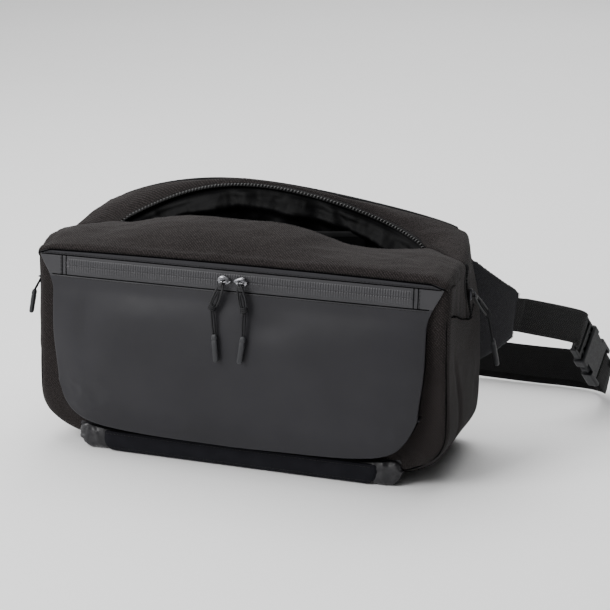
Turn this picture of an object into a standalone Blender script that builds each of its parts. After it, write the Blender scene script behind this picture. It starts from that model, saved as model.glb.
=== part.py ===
"""Waist bag with an open top zip, a zipped front pocket and a hip belt with a side-release buckle.

Metres, +Z up. The origin is the middle of the flat base. The front pocket faces -Y, and the
wearer's side, with the two hip wings and the belt, is +Y.
"""

import math

import bmesh
import bpy
from mathutils import Matrix, Vector

# Body
HALF_WIDTH = 0.175
FRONT_Y = -0.062
BACK_Y = 0.062
FRONT_HEIGHT = 0.172
BACK_SIDE_HEIGHT = 0.178
BACK_RISE = 0.0335
CORNER_WIDTH = 0.044
CORNER_HEIGHT = 0.048
CORNER_TIGHTER = 0.010
SIDE_TAPER = 0.24
TAPER_FROM = 0.118
BACK_TOP_HALF = 0.157
CLOTH = 0.0025
GAP = 0.0005
LINING = 0.001
LINING_TOP = 0.163

# Mouth of the main compartment
MOUTH_HALF = 0.137
MOUTH_END_Z = 0.1765
MOUTH_END_Y = 0.020
FRONT_LIP_Y = -0.010
BACK_LIP_Y = 0.047
ZIP_TAPE_WIDTH = 0.0044
ZIP_TAPE_THICKNESS = 0.0012

# Front pocket
POCKET_HALF_TOP = 0.173
POCKET_HALF_MID = 0.1595
POCKET_HALF_LOW = 0.1555
POCKET_BOTTOM = 0.0188
POCKET_BULGE = 0.014
ZIP_STRIP_TOP = 0.1655
ZIP_STRIP_BOTTOM = 0.149
ZIP_STRIP_HALF = 0.154
ZIP_END_HALF = 0.1645
GUSSET_CLEAR = 0.0035

# Zip pulls
SLIDER_LENGTH = 0.0105
SLIDER_WIDTH = 0.0085
SLIDER_PLATE = 0.0016
CROWN_RISE = 0.0040
CROWN_BAR = 0.0010
CROWN_BASE = 0.0010
CORD_RADIUS = 0.0009
TIP_RADIUS = 0.0021

# Belt and buckle
WEBBING_WIDTH = 0.030
WEBBING = 0.0013
WING_THICKNESS = 0.005
BUCKLE_ORIGIN = Vector((0.2482, 0.140, 0.0805))
BUCKLE_AXIS = Vector((0.252, 0.656, -0.713)).normalized()
BUCKLE_ACROSS = Vector((0.157, 0.700, 0.700))
BUCKLE_HALF_WIDTH = 0.0195
BUCKLE_HALF_THICKNESS = 0.0052
BAR_HALF = 0.0015
MALE_BAR = 0.0038
FEMALE_MOUTH = 0.0165
FEMALE_BAR = 0.0570
FEMALE_END = 0.0610
STRAP_OFFSET = 0.0029
PLY_OFFSET = 0.0016
MALE_HALF_WIDTH = 0.0180
MALE_LENGTH = 0.0150
MALE_HALF_THICKNESS = 0.0030
SLOT_HALF = 0.0158
SLOT_END = 0.0088
GUIDE_HALF_WIDTH = 0.0040
GUIDE_HALF_THICKNESS = 0.0018
FEMALE_CAVITY = (0.0165, 0.0034)
SIDE_WINDOW = (0.0268, 0.0405)
LATCH_ROOT = (0.0140, 0.0099)
LATCH_THICKNESS = 0.0056
THROUGH = 0.02
WRAP_CLEAR = 0.0014
WING_CLEAR = 0.0040


def clear_scene():
    for item in list(bpy.data.objects):
        bpy.data.objects.remove(item, do_unlink=True)


def material(name, colour, roughness, metallic=0.0):
    made = bpy.data.materials.new(name)
    made.use_nodes = True
    shader = made.node_tree.nodes["Principled BSDF"]
    shader.inputs["Base Color"].default_value = (*colour, 1.0)
    shader.inputs["Roughness"].default_value = roughness
    shader.inputs["Metallic"].default_value = metallic
    return made


def finish(name, mesh_data, finish_material, origin=None, smooth=True):
    """Close a bmesh into an object whose origin is on its joint where it has one."""
    bmesh.ops.recalc_face_normals(mesh_data, faces=mesh_data.faces)
    if origin is not None:
        bmesh.ops.translate(mesh_data, verts=mesh_data.verts, vec=-Vector(origin))
    mesh = bpy.data.meshes.new(name)
    mesh_data.to_mesh(mesh)
    mesh_data.free()
    if smooth:
        mesh.shade_smooth()
        mesh.set_sharp_from_angle(angle=math.radians(35))
    made = bpy.data.objects.new(name, mesh)
    made.data.materials.append(finish_material)
    if origin is not None:
        made.location = origin
    bpy.context.collection.objects.link(made)
    return made


def smooth_step(value):
    value = max(0.0, min(1.0, value))
    return value * value * (3.0 - 2.0 * value)


def catmull(points, steps):
    """Points on the smooth curve through the given points."""
    points = [Vector(point) for point in points]
    padded = [2 * points[0] - points[1], *points, 2 * points[-1] - points[-2]]
    curve = []
    for before, start, end, after in zip(padded, padded[1:], padded[2:], padded[3:]):
        for step in range(steps):
            t = step / steps
            curve.append(
                0.5 * (2 * start + (end - before) * t
                       + (2 * before - 5 * start + 4 * end - after) * t ** 2
                       + (3 * start - before - 3 * end + after) * t ** 3)
            )
    curve.append(points[-1])
    return curve


def sheet(name, surface, columns, rows, thickness, finish_material, flip=1.0):
    """A closed panel whose outer face is surface(u, v), with an even thickness behind it."""
    grid = [[Vector(surface(i / columns, j / rows)) for j in range(rows + 1)]
            for i in range(columns + 1)]
    data = bmesh.new()
    outer, inner = [], []
    for i in range(columns + 1):
        outer.append([])
        inner.append([])
        for j in range(rows + 1):
            along = grid[min(i + 1, columns)][j] - grid[max(i - 1, 0)][j]
            across = grid[i][min(j + 1, rows)] - grid[i][max(j - 1, 0)]
            normal = along.cross(across).normalized() * flip
            outer[i].append(data.verts.new(grid[i][j]))
            inner[i].append(data.verts.new(grid[i][j] - normal * thickness))
    for i in range(columns):
        for j in range(rows):
            data.faces.new((outer[i][j], outer[i + 1][j], outer[i + 1][j + 1], outer[i][j + 1]))
            data.faces.new((inner[i][j + 1], inner[i + 1][j + 1], inner[i + 1][j], inner[i][j]))
    border = [(i, 0) for i in range(columns)] + [(columns, j) for j in range(rows)]
    border += [(i, rows) for i in range(columns, 0, -1)] + [(0, j) for j in range(rows, 0, -1)]
    for (i, j), (k, m) in zip(border, border[1:] + border[:1]):
        data.faces.new((outer[i][j], inner[i][j], inner[k][m], outer[k][m]))
    return finish(name, data, finish_material)


def strip(name, path, across, width, thickness, finish_material):
    """A flat strip along a path; across gives the direction of its width at each point."""
    data = bmesh.new()
    rings = []
    for index, point in enumerate(path):
        tangent = path[min(index + 1, len(path) - 1)] - path[max(index - 1, 0)]
        tangent.normalize()
        side = across[index] - tangent * across[index].dot(tangent)
        side.normalize()
        normal = tangent.cross(side)
        corners = [(1, 1), (-1, 1), (-1, -1), (1, -1)]
        rings.append([data.verts.new(point + side * width / 2 * a + normal * thickness / 2 * b)
                      for a, b in corners])
    for ring, following in zip(rings, rings[1:]):
        for k in range(4):
            m = (k + 1) % 4
            data.faces.new((ring[k], ring[m], following[m], following[k]))
    data.faces.new(rings[0][::-1])
    data.faces.new(rings[-1])
    return finish(name, data, finish_material)


def extrude(outline, depth, to_world):
    """A bmesh prism of a flat outline in local XY, depth along local Z, placed by a matrix."""
    data = bmesh.new()
    low = [data.verts.new((x, y, -depth / 2)) for x, y in outline]
    high = [data.verts.new((x, y, depth / 2)) for x, y in outline]
    data.faces.new(low[::-1])
    data.faces.new(high)
    for k in range(len(outline)):
        m = (k + 1) % len(outline)
        data.faces.new((low[k], low[m], high[m], high[k]))
    bmesh.ops.transform(data, matrix=to_world, verts=data.verts)
    return data


def box_data(low, high, to_world=None, bevel=0.0):
    data = bmesh.new()
    bmesh.ops.create_cube(data, size=1.0)
    low, high = Vector(low), Vector(high)
    bmesh.ops.scale(data, vec=high - low, verts=data.verts)
    bmesh.ops.translate(data, vec=(high + low) / 2, verts=data.verts)
    if bevel:
        bmesh.ops.bevel(data, geom=data.edges[:], offset=bevel, segments=2, affect="EDGES", profile=0.6)
    if to_world is not None:
        bmesh.ops.transform(data, matrix=to_world, verts=data.verts)
    return data


def combine(target, others, operation):
    """Apply an exact Boolean between a finished object and helper objects, then drop the helpers."""
    for other in others:
        modifier = target.modifiers.new(operation, "BOOLEAN")
        modifier.operation = operation
        modifier.solver = "EXACT"
        modifier.object = other
    evaluated = target.evaluated_get(bpy.context.evaluated_depsgraph_get())
    mesh = bpy.data.meshes.new_from_object(evaluated)
    target.modifiers.clear()
    target.data = mesh
    for other in others:
        bpy.data.objects.remove(other, do_unlink=True)
    return target


def cord(name, points, radius, finish_material, origin):
    """A round cord as a curve with a bevel and closed ends."""
    curve = bpy.data.curves.new(name, "CURVE")
    curve.dimensions = "3D"
    curve.bevel_depth = radius
    curve.bevel_resolution = 2
    curve.use_fill_caps = True
    spline = curve.splines.new("POLY")
    spline.points.add(len(points) - 1)
    for slot, point in zip(spline.points, points):
        slot.co = (*(point - origin), 1.0)
    curve.materials.append(finish_material)
    made = bpy.data.objects.new(name, curve)
    made.location = origin
    bpy.context.collection.objects.link(made)
    return made


# ---------------------------------------------------------------- body surfaces

def back_top(x):
    """Height of the back panel's top edge, arched and a little higher on the left."""
    arch = max(0.0, 1 - (x / 0.170) ** 2) ** 0.75
    return BACK_SIDE_HEIGHT + BACK_RISE * arch - 0.0045 * math.sin(math.pi * x / HALF_WIDTH)


def front_edge(x):
    return FRONT_HEIGHT - 0.002 * (x / HALF_WIDTH) ** 2 - 0.003 * smooth_step((abs(x) - 0.160) / 0.012)


def mouth_ratio(x):
    return min(1.0, abs(x) / MOUTH_HALF)


def seam_y(x):
    """Where the two halves of the top meet beyond the mouth's ends."""
    return MOUTH_END_Y - 0.020 * smooth_step((abs(x) - MOUTH_HALF) / 0.035)


def end_height(x):
    return MOUTH_END_Z - 0.004 * smooth_step((abs(x) - MOUTH_HALF) / 0.035)


def front_lip(x):
    open_part = (1 - mouth_ratio(x) ** 2) ** 0.8
    y = seam_y(x) - GAP - (MOUTH_END_Y - FRONT_LIP_Y) * open_part
    reach = abs(x + 0.008) / (0.072 if x > -0.008 else 0.096)
    z = end_height(x) + 0.0185 * math.exp(-reach ** 4)
    return Vector((x, y, z))


def back_lip(x):
    ratio = mouth_ratio(x)
    y = seam_y(x) + GAP + (BACK_LIP_Y - MOUTH_END_Y) * (1 - ratio ** 4)
    skew = 0.004 * math.sin(math.pi * x / MOUTH_HALF) if ratio < 1 else 0.0
    z = end_height(x) + 0.0345 * (1 - ratio ** 2) - skew
    return Vector((x, y, z))


TOP_HALF = 0.1715


def top_front(u, v):
    """Front half of the top, from the front fold up to the front lip of the mouth."""
    x = TOP_HALF * (2 * u - 1)
    start = Vector((x, FRONT_Y + 0.001, front_edge(x)))
    end = front_lip(x)
    crown = Vector((0, 0, 0.004 * math.sin(math.pi * v)))
    return start.lerp(end, v) + crown


def top_back(u, v):
    """Back half of the top, from the back lip of the mouth to the back panel."""
    x = TOP_HALF * (2 * u - 1)
    end_x = x * BACK_TOP_HALF / TOP_HALF
    return back_lip(x).lerp(Vector((end_x, 0.0535, back_top(end_x))), v)


def bottom_profile(inset, fullness=0.0, steps=8):
    """Rounded bottom of the body from the left side to the right side, seen from the front.

    The lower corners are widest at the front, where fullness is 0, and tightest at the back.
    """
    wide = CORNER_WIDTH - CORNER_TIGHTER * fullness
    tall = CORNER_HEIGHT - CORNER_TIGHTER * fullness
    points = []
    for sign in (-1, 1):
        arc = []
        for step in range(steps + 1):
            angle = math.pi / 2 * step / steps
            x = HALF_WIDTH - wide + (wide - inset) * math.cos(angle)
            z = tall - (tall - inset) * math.sin(angle)
            arc.append((sign * x, z))
        points += arc if sign < 0 else arc[::-1]
    return points


def depth_share(y):
    """0 at the body's front and 1 at its back."""
    return (y - FRONT_Y - 0.0006) / (BACK_Y - FRONT_Y - 0.0012)


def wall(name, inset, y_front, y_back, top, top_half, fullness, finish_material, steps=14):
    """An upright wall with the body's rounded bottom and a top edge given by top(x)."""
    half = HALF_WIDTH - inset
    outline = bottom_profile(inset, fullness)
    outline.append((half, TAPER_FROM))
    outline += [(top_half * (1 - 2 * step / steps), top(top_half * (1 - 2 * step / steps)))
                for step in range(steps + 1)]
    outline.append((-half, TAPER_FROM))
    middle = (y_front + y_back) / 2
    placed = Matrix.Translation((0, middle, 0)) @ Matrix.Rotation(math.radians(90), 4, "X")
    return finish(name, extrude(outline, y_back - y_front, placed), finish_material, smooth=False)


def make_body(mats):
    last = len(bottom_profile(0.0)) - 1

    def base_surface(u, v):
        x, z = bottom_profile(0.0, v)[round(u * last)]
        return x, FRONT_Y + 0.0006 + (BACK_Y - FRONT_Y - 0.0012) * v, z

    sheet("base_panel", base_surface, last, 1, CLOTH, mats["coated"], flip=-1.0)
    inset = CLOTH + GAP
    wall("front_wall", inset, FRONT_Y + 0.0006, FRONT_Y + 0.0026, lambda x: front_edge(x) - 0.003,
         HALF_WIDTH - inset, 0.0, mats["twill"])
    wall("back_foam", inset, 0.0545, 0.0580, lambda x: back_top(x) - 0.002, BACK_TOP_HALF, 1.0,
         mats["foam"])
    wall("back_panel", inset, 0.0585, BACK_Y - 0.0008, back_top, BACK_TOP_HALF, 1.0, mats["mesh"])

    side_front = FRONT_Y + 0.0006
    side_depth = 0.0540 - side_front
    for side, sign in (("left", -1), ("right", 1)):
        def side_surface(u, v, sign=sign):
            y = side_front + side_depth * u
            share = depth_share(y)
            top = 0.1600 - 0.004 * u
            low = CORNER_HEIGHT - CORNER_TIGHTER * share + GAP
            z = low + (top - low) * v
            taper = SIDE_TAPER * max(0.0, z - TAPER_FROM) * share ** 2
            return sign * (HALF_WIDTH - taper), y, z

        sheet(f"side_panel_{side}", side_surface, 4, 4, CLOTH, mats["twill"], flip=sign)

    sheet("top_front_panel", top_front, 28, 3, 0.002, mats["twill"])
    sheet("top_back_panel", top_back, 28, 2, 0.002, mats["twill"])

    guard = box_data((-0.138, FRONT_Y - 0.0035, 0.0), (0.140, FRONT_Y + 0.0001, 0.018), bevel=0.0010)
    finish("base_front_guard", guard, mats["coated"], smooth=False)
    band = box_data((-0.118, FRONT_Y - 0.0060, 0.0004), (0.122, FRONT_Y - 0.0038, 0.0175), bevel=0.0007)
    finish("base_band", band, mats["band"], smooth=False)


def make_lining(mats):
    """Open-topped inner bag, a panel thickness inside the body walls."""
    inset = CLOTH + 0.0025
    y_front, y_back = FRONT_Y + 0.0032, 0.0538
    half = HALF_WIDTH - inset
    back_half = half - SIDE_TAPER * (LINING_TOP - TAPER_FROM)
    middle = [(-half, TAPER_FROM), *bottom_profile(inset), (half, TAPER_FROM)]
    outline = [(-half, LINING_TOP), *middle, (half, LINING_TOP)]
    tapered = [(-back_half, LINING_TOP), *middle, (back_half, LINING_TOP)]
    data = bmesh.new()
    front = [data.verts.new((x, y_front, z)) for x, z in outline]
    back = [data.verts.new((x, y_back, z)) for x, z in tapered]
    data.faces.new(front)
    data.faces.new(back[::-1])
    for k in range(len(outline) - 1):
        data.faces.new((front[k + 1], front[k], back[k], back[k + 1]))
    bmesh.ops.recalc_face_normals(data, faces=data.faces)
    if sum(face.normal.dot(face.calc_center_median() - Vector((0, 0, 0.09))) for face in data.faces) < 0:
        bmesh.ops.reverse_faces(data, faces=data.faces)
    mesh = bpy.data.meshes.new("main_lining")
    data.to_mesh(mesh)
    data.free()
    lining = bpy.data.objects.new("main_lining", mesh)
    bpy.context.collection.objects.link(lining)
    lining.data.materials.append(mats["lining"])
    thickness = lining.modifiers.new("Solidify", "SOLIDIFY")
    thickness.thickness = LINING
    thickness.offset = -1.0

    panel = box_data((-0.095, 0.0390, 0.020), (0.080, 0.0402, 0.176))
    finish("inner_pocket_panel", panel, mats["lining"], smooth=False)
    binding = box_data((-0.095, 0.0382, 0.1765), (0.080, 0.0410, 0.1825), bevel=0.0006)
    finish("inner_pocket_binding", binding, mats["webbing"], smooth=False)


# ---------------------------------------------------------------- zips

TRACK_DIRECTION = Vector((0, 0.5145, -0.8575))
TRACK_ACROSS = Vector((0, 0.8575, 0.5145))
TRACK_CENTRE = Vector((0, 0.004, 0.146))
TRACK_X = HALF_WIDTH + 0.0012
TRACK_TOP = -0.018
TRACK_END = 0.026
TAPE_LIFT = 0.0027


def track_point(sign, along, across=0.0, out=0.0):
    """A point on the straight stretch of the main zip on the left or right side."""
    point = TRACK_CENTRE + TRACK_DIRECTION * along + TRACK_ACROSS * across
    return Vector((sign * (TRACK_X + out), point.y, point.z))


def zip_path(surface, lip_v, inner_v, shift):
    """Centre line of one tape: up one side, along its lip of the mouth and down the other side."""
    half_path, half_across = [], []
    for along in (TRACK_END, 0.005, TRACK_TOP + 0.004):
        half_path.append(track_point(1, along, shift))
        half_across.append(TRACK_ACROSS.copy())
    corner_y = seam_y(TOP_HALF) + shift
    half_path.append(Vector((TRACK_X, corner_y, 0.1672)))
    half_across.append(Vector((0, 1, 0.15)))
    half_path.append(Vector((TRACK_X - 0.0026, corner_y, 0.1742)))
    half_across.append(Vector((0, 1, 0)))
    right = list(zip(half_path, half_across))
    left = [(Vector((-p.x, p.y, p.z)), a.copy()) for p, a in right[::-1]]
    middle = []
    count = 34
    for step in range(count + 1):
        u = 0.5 + 0.484 * (1 - 2 * step / count)
        lip = surface(u, lip_v)
        inward = surface(u, inner_v) - lip
        inward.x = 0
        inward.normalize()
        up = Vector((1, 0, 0)).cross(inward)
        up *= 1 if up.z > 0 else -1
        middle.append((lip + inward * abs(shift) + up * TAPE_LIFT, inward * math.copysign(1, shift)))
    joined = right + middle + left
    return [p for p, _ in joined], [a for _, a in joined]


def frame_at(place, x_axis, y_axis):
    """Matrix with local X and Y along the given directions, at a place."""
    x_axis = Vector(x_axis).normalized()
    y_axis = Vector(y_axis)
    y_axis = (y_axis - x_axis * y_axis.dot(x_axis)).normalized()
    z_axis = x_axis.cross(y_axis)
    matrix = Matrix((x_axis, y_axis, z_axis)).transposed().to_4x4()
    matrix.translation = place
    return matrix


def make_slider(name, place, mats):
    """Slider body: a shield-shaped plate and the crown that its tab hangs on.

    Local X runs along the zip towards the slider's nose, and local Z points out of the bag.
    """
    half, width = SLIDER_LENGTH / 2, SLIDER_WIDTH / 2
    outline = [(half, 0.0016), (half, -0.0016), (0.0015, -width), (-0.0030, -width),
               (-half, -0.0024), (-half, 0.0024), (-0.0030, width), (0.0015, width)]
    lift = Matrix.Translation((0, 0, SLIDER_PLATE / 2))
    plate = finish(name, extrude(outline, SLIDER_PLATE, place @ lift), mats["gunmetal"],
                   origin=place.translation, smooth=False)
    arch = []
    steps = 8
    for step in range(steps + 1):
        angle = math.pi * step / steps
        arch.append((0.0044 * math.cos(angle), CROWN_BASE + CROWN_RISE * math.sin(angle)))
    for step in range(steps, -1, -1):
        angle = math.pi * step / steps
        arch.append((0.0034 * math.cos(angle), CROWN_BASE + (CROWN_RISE - CROWN_BAR) * math.sin(angle)))
    upright = place @ Matrix.Rotation(math.radians(90), 4, "X")
    crown = finish(name + "_crown", extrude(arch, 0.0014, upright), mats["gunmetal"], smooth=False)
    return combine(plate, [crown], "UNION")


def ring_data(centre, first, second, major, minor, around=14, section=6):
    """A closed wire ring in the plane of two directions."""
    normal = first.cross(second).normalized()
    second = normal.cross(first)
    ring = bmesh.new()
    rings = []
    for i in range(around):
        angle = 2 * math.pi * i / around
        out = first * math.cos(angle) + second * math.sin(angle)
        loop = []
        for j in range(section):
            turn = 2 * math.pi * j / section
            offset = (out * math.cos(turn) + normal * math.sin(turn)) * minor
            loop.append(ring.verts.new(centre + out * major + offset))
        rings.append(loop)
    for i in range(around):
        for j in range(section):
            k, m = (i + 1) % around, (j + 1) % section
            ring.faces.new((rings[i][j], rings[k][j], rings[k][m], rings[i][m]))
    return ring


def make_tab(name, top, end, facing, along_zip, mats):
    """Metal pull tab: a ring round the crown, a flat bar and an eye for the cord.

    A tab that crosses its zip has a ring standing on edge round the crown's bar. A tab that
    follows its zip, along_zip, has a flat ring with one leg of the crown through it.
    """
    if along_zip is None:
        major = 0.0018
        first, second = (end - top).normalized(), facing
        centre = top + first * 0.0003
    else:
        major = 0.0026
        first, second = along_zip, facing.cross(along_zip)
        centre = top + first * major
    tab = finish(name, ring_data(centre, first, second, major, 0.00045), mats["gunmetal"], origin=top,
                 smooth=False)
    towards = end - centre
    normal = first.cross(second).normalized()
    joint = centre + (towards - normal * towards.dot(normal)).normalized() * major
    direction = (end - joint).normalized()
    place = frame_at(joint, direction, facing.cross(direction))
    start, length = -0.0002, (end - joint).length
    outline = [(start, -0.0011), (start + 0.0022, -0.0021), (length - 0.0016, -0.0021), (length, -0.0010),
               (length, 0.0010), (length - 0.0016, 0.0021), (start + 0.0022, 0.0021), (start, 0.0011)]
    bar = finish(name + "_bar", extrude(outline, 0.0012, place), mats["gunmetal"], smooth=False)
    tab = combine(tab, [bar], "UNION")
    slot = [(length - 0.0115, -0.0010), (length - 0.0012, -0.0010), (length - 0.0012, 0.0010),
            (length - 0.0115, 0.0010)]
    hole = finish(name + "_slot", extrude(slot, 0.004, place), mats["gunmetal"], smooth=False)
    return combine(tab, [hole], "DIFFERENCE")


def make_pull(prefix, crown, route, facing, along_zip, mats):
    """Tab, doubled cord and moulded tip of one zip pull, down the route of its three ends."""
    tab_end, cord_end, tip_end = route
    crown, tab_end, cord_end, tip_end = (Vector(p) for p in (crown, tab_end, cord_end, tip_end))
    make_tab(f"{prefix}_pull_tab", crown, tab_end, facing, along_zip, mats)
    run = (cord_end - tab_end).normalized()
    start = tab_end + run * 0.0012
    points = [start.lerp(cord_end - run * 0.0011, step / 6) for step in range(7)]
    cord(f"{prefix}_pull_cord", points, 2 * CORD_RADIUS * 0.9, mats["webbing"], tab_end)
    tip_axis = (tip_end - cord_end).normalized()
    length = (tip_end - cord_end).length
    place = frame_at(cord_end, tip_axis, facing.cross(tip_axis))
    profile = [(0.0, 0.70), (0.0008, 0.88), (0.0020, 1.0), (length - 0.0020, 0.92),
               (length - 0.0007, 0.80), (length, 0.55)]
    data = bmesh.new()
    loops = []
    for along, share in profile:
        loops.append([data.verts.new((along, TIP_RADIUS * share * math.cos(2 * math.pi * k / 12),
                                      TIP_RADIUS * share * math.sin(2 * math.pi * k / 12)))
                      for k in range(12)])
    for loop, following in zip(loops, loops[1:]):
        for k in range(12):
            m = (k + 1) % 12
            data.faces.new((loop[k], loop[m], following[m], following[k]))
    data.faces.new(loops[0][::-1])
    data.faces.new(loops[-1])
    bmesh.ops.transform(data, matrix=place, verts=data.verts)
    finish(f"{prefix}_pull_tip", data, mats["rubber"], origin=tab_end)


FRONT_SLIDER_Z = 0.1577
FRONT_SLIDER_Y = FRONT_Y - 0.0042
FRONT_PULLS = {
    # slider's place along the zip, then the ends of its tab, cord and tip
    "left": (-0.0073,
             ((-0.0150, -0.0745, 0.1362), (-0.0118, -0.0785, 0.1155), (-0.0090, -0.0820, 0.0938))),
    "right": (0.0063,
              ((0.0122, -0.0745, 0.1366), (0.0128, -0.0785, 0.1160), (0.0108, -0.0820, 0.0945))),
}
MAIN_PULLS = {
    # side of the bag, slider's place down its track, then the ends of its tab, cord and tip
    "left": (-1, -0.014,
             ((-0.1904, -0.0112, 0.1411), (-0.2003, -0.0200, 0.1195), (-0.2042, -0.0205, 0.0985))),
    "right": (1, 0.0,
              ((0.1893, 0.0215, 0.1250), (0.1940, 0.0223, 0.1036), (0.1990, 0.0225, 0.0815))),
}


def make_zips(mats):
    for name, surface, lip_v, inner_v, shift in (
            ("main_zip_front_tape", top_front, 1.0, 0.9, -0.0033),
            ("main_zip_back_tape", top_back, 0.0, 0.5, 0.0033)):
        path, across = zip_path(surface, lip_v, inner_v, shift)
        strip(name, path, across, ZIP_TAPE_WIDTH, ZIP_TAPE_THICKNESS, mats["tape"])

    for side, (x, route) in FRONT_PULLS.items():
        nose = Vector((1 if x < 0 else -1, 0, 0))
        out = Vector((0, -1, 0))
        place = frame_at(Vector((x, FRONT_SLIDER_Y, FRONT_SLIDER_Z)), nose, out.cross(nose))
        make_slider(f"front_slider_{side}", place, mats)
        crown = place @ Vector((0, 0, CROWN_BASE + CROWN_RISE - CROWN_BAR / 2))
        make_pull(f"front_{side}", crown, route, out, None, mats)

    for side, (sign, along, route) in MAIN_PULLS.items():
        out = Vector((sign, 0, 0))
        place = frame_at(track_point(sign, along, 0.0, 0.0009), -TRACK_DIRECTION,
                         out.cross(-TRACK_DIRECTION))
        make_slider(f"main_slider_{side}", place, mats)
        crown = place @ Vector((0, 0, (SLIDER_PLATE + CROWN_BASE + CROWN_RISE - CROWN_BAR) / 2))
        make_pull(f"main_{side}", crown, route, out, TRACK_DIRECTION, mats)


# ---------------------------------------------------------------- front pocket

def pocket_half(z):
    """Half width of the pocket front: narrow at the bottom, flared to the corners at the top."""
    widening = (POCKET_HALF_MID - POCKET_HALF_LOW) * smooth_step((z - 0.055) / 0.050)
    flare = (POCKET_HALF_TOP - POCKET_HALF_MID) * smooth_step((z - 0.130) / 0.042) ** 1.4
    return POCKET_HALF_LOW + widening + flare


def pocket_bulge(x, z):
    """How far the pocket front stands out of the front wall."""
    down = smooth_step((ZIP_STRIP_TOP - z) / 0.075)
    sideways = 1 - (abs(x) / 0.175) ** 6
    return 0.0024 + POCKET_BULGE * down * sideways


def pocket_lowest(x):
    """Bottom edge of the pocket front, with a tight and a long rise at each end."""
    inside = POCKET_HALF_LOW - min(abs(x), POCKET_HALF_LOW)
    return POCKET_BOTTOM + 0.032 * math.exp(-inside / 0.0115) + 0.008 * math.exp(-inside / 0.075)


def pocket_face(top, bottom_at):
    def surface(u, v):
        side = 2 * u - 1
        z_guess = bottom_at(side * POCKET_HALF_LOW) * (1 - v) + top * v
        x = side * (pocket_half(z_guess) - 0.001)
        return x, FRONT_Y - pocket_bulge(x, z_guess), z_guess
    return surface


def make_pocket(mats):
    sheet("front_pocket_panel", pocket_face(ZIP_STRIP_BOTTOM - GAP, pocket_lowest), 24, 8, 0.0018,
          mats["coated"])
    sheet("front_pocket_top_strip", pocket_face(FRONT_HEIGHT - 0.0008, lambda _: ZIP_STRIP_TOP + GAP),
          16, 1, 0.0018, mats["coated"])
    outer_y = FRONT_Y - 0.0034
    inner_y = outer_y + ZIP_TAPE_THICKNESS
    low, high = ZIP_STRIP_BOTTOM + GAP, ZIP_STRIP_TOP - GAP
    finish("front_zip_tape", box_data((-ZIP_STRIP_HALF, outer_y, low), (ZIP_STRIP_HALF, inner_y, high)),
           mats["tape"], smooth=False)
    for side, sign in (("left", -1), ("right", 1)):
        near, far = sorted((sign * (ZIP_STRIP_HALF + GAP), sign * ZIP_END_HALF))
        finish(f"front_zip_end_{side}", box_data((near, outer_y, low), (far, inner_y, high)),
               mats["coated"], smooth=False)

    gusset_half = POCKET_HALF_LOW - GUSSET_CLEAR

    def lower_edge(x):
        """The pocket's bottom edge moved inwards by a clearance square to it."""
        slope = (pocket_lowest(x + 0.001) - pocket_lowest(x - 0.001)) / 0.002
        return pocket_lowest(x) + GUSSET_CLEAR * math.sqrt(1 + slope ** 2)

    def gusset_line(u):
        """Point of the pocket's outline from its upper left, round the bottom, to its upper right."""
        side = -1 if u < 0.5 else 1
        share = 1 - abs(2 * u - 1)
        corner_z = lower_edge(gusset_half)
        if share < 0.3:
            return side * gusset_half, 0.146 - (0.146 - corner_z) * share / 0.3
        x = gusset_half * (1 - ((share - 0.3) / 0.7) ** 1.6)
        return side * x, lower_edge(x)

    def gusset(u, v):
        x, z = gusset_line(u)
        depth = max(0.0006, pocket_bulge(x, z) - 0.0036)
        return x, FRONT_Y - 0.0004 - depth * v, z

    sheet("front_pocket_gusset", gusset, 40, 1, 0.0012, mats["twill"], flip=-1.0)


# ---------------------------------------------------------------- belt and buckle

WING_END = Vector((0.200, 0.100, 0.103))
WING_END_ACROSS = Vector((0.12, 0.04, 0.99)).normalized()
WING_END_HEIGHT = 0.042
WING_ROOT_LOW = Vector((0.1725, 0.0650, 0.068))
WING_ROOT_HIGH = Vector((0.1655, 0.0650, 0.160))


def mirrored(vector, sign):
    return Vector((sign * vector.x, vector.y, vector.z))


def make_wings(mats):
    low = WING_END - WING_END_ACROSS * WING_END_HEIGHT / 2
    high = WING_END + WING_END_ACROSS * WING_END_HEIGHT / 2
    for side, sign in (("left", -1), ("right", 1)):
        def surface(u, v, sign=sign):
            root = WING_ROOT_LOW.lerp(WING_ROOT_HIGH, v)
            end = low.lerp(high, v)
            bow = Vector((0.0035, -0.0030, 0)) * math.sin(math.pi * u)
            return mirrored(root.lerp(end, u) + bow, sign)

        sheet(f"hip_wing_{side}", surface, 5, 5, WING_THICKNESS, mats["twill"], flip=sign)


def buckle_frame():
    return frame_at(BUCKLE_ORIGIN, BUCKLE_AXIS, BUCKLE_ACROSS)


def make_right_webbing(mats):
    """Sewn webbing from the right wing round the male half's bar and a short way back."""
    place = buckle_frame()
    across_end = place.to_3x3() @ Vector((0, 1, 0))
    out = place.to_3x3() @ Vector((0, 0, 1))
    leave = (WING_END - (WING_ROOT_LOW + WING_ROOT_HIGH) / 2).normalized()
    start = WING_END + leave * WING_CLEAR
    layer = STRAP_OFFSET
    over, through = MALE_BAR - 0.0004, MALE_BAR + WRAP_CLEAR
    wrap = [place @ Vector(p) for p in
            ((-0.010, 0, layer), (-0.003, 0, layer), (over, 0, layer), (through, 0, WRAP_CLEAR),
             (through, 0, -WRAP_CLEAR), (over, 0, -layer), (-0.003, 0, -layer), (-0.010, 0, -layer))]
    forward = catmull([start, start + leave * 0.012, wrap[0] - place.to_3x3() @ Vector((0.012, 0, 0)),
                       wrap[0]], 6)
    count = len(forward) - 1
    path = forward[:-1] + wrap
    turn = [WING_END_ACROSS.lerp(across_end, smooth_step(step / count)) for step in range(count)]
    across = turn + [across_end] * len(wrap)
    for step in range(1, 6):
        index = count - step * 2
        path.append(forward[index] - out * 2 * layer * (1 - 0.05 * step))
        across.append(turn[index])
    strip("webbing_right", path, across, WEBBING_WIDTH, WEBBING, mats["webbing"])


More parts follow.
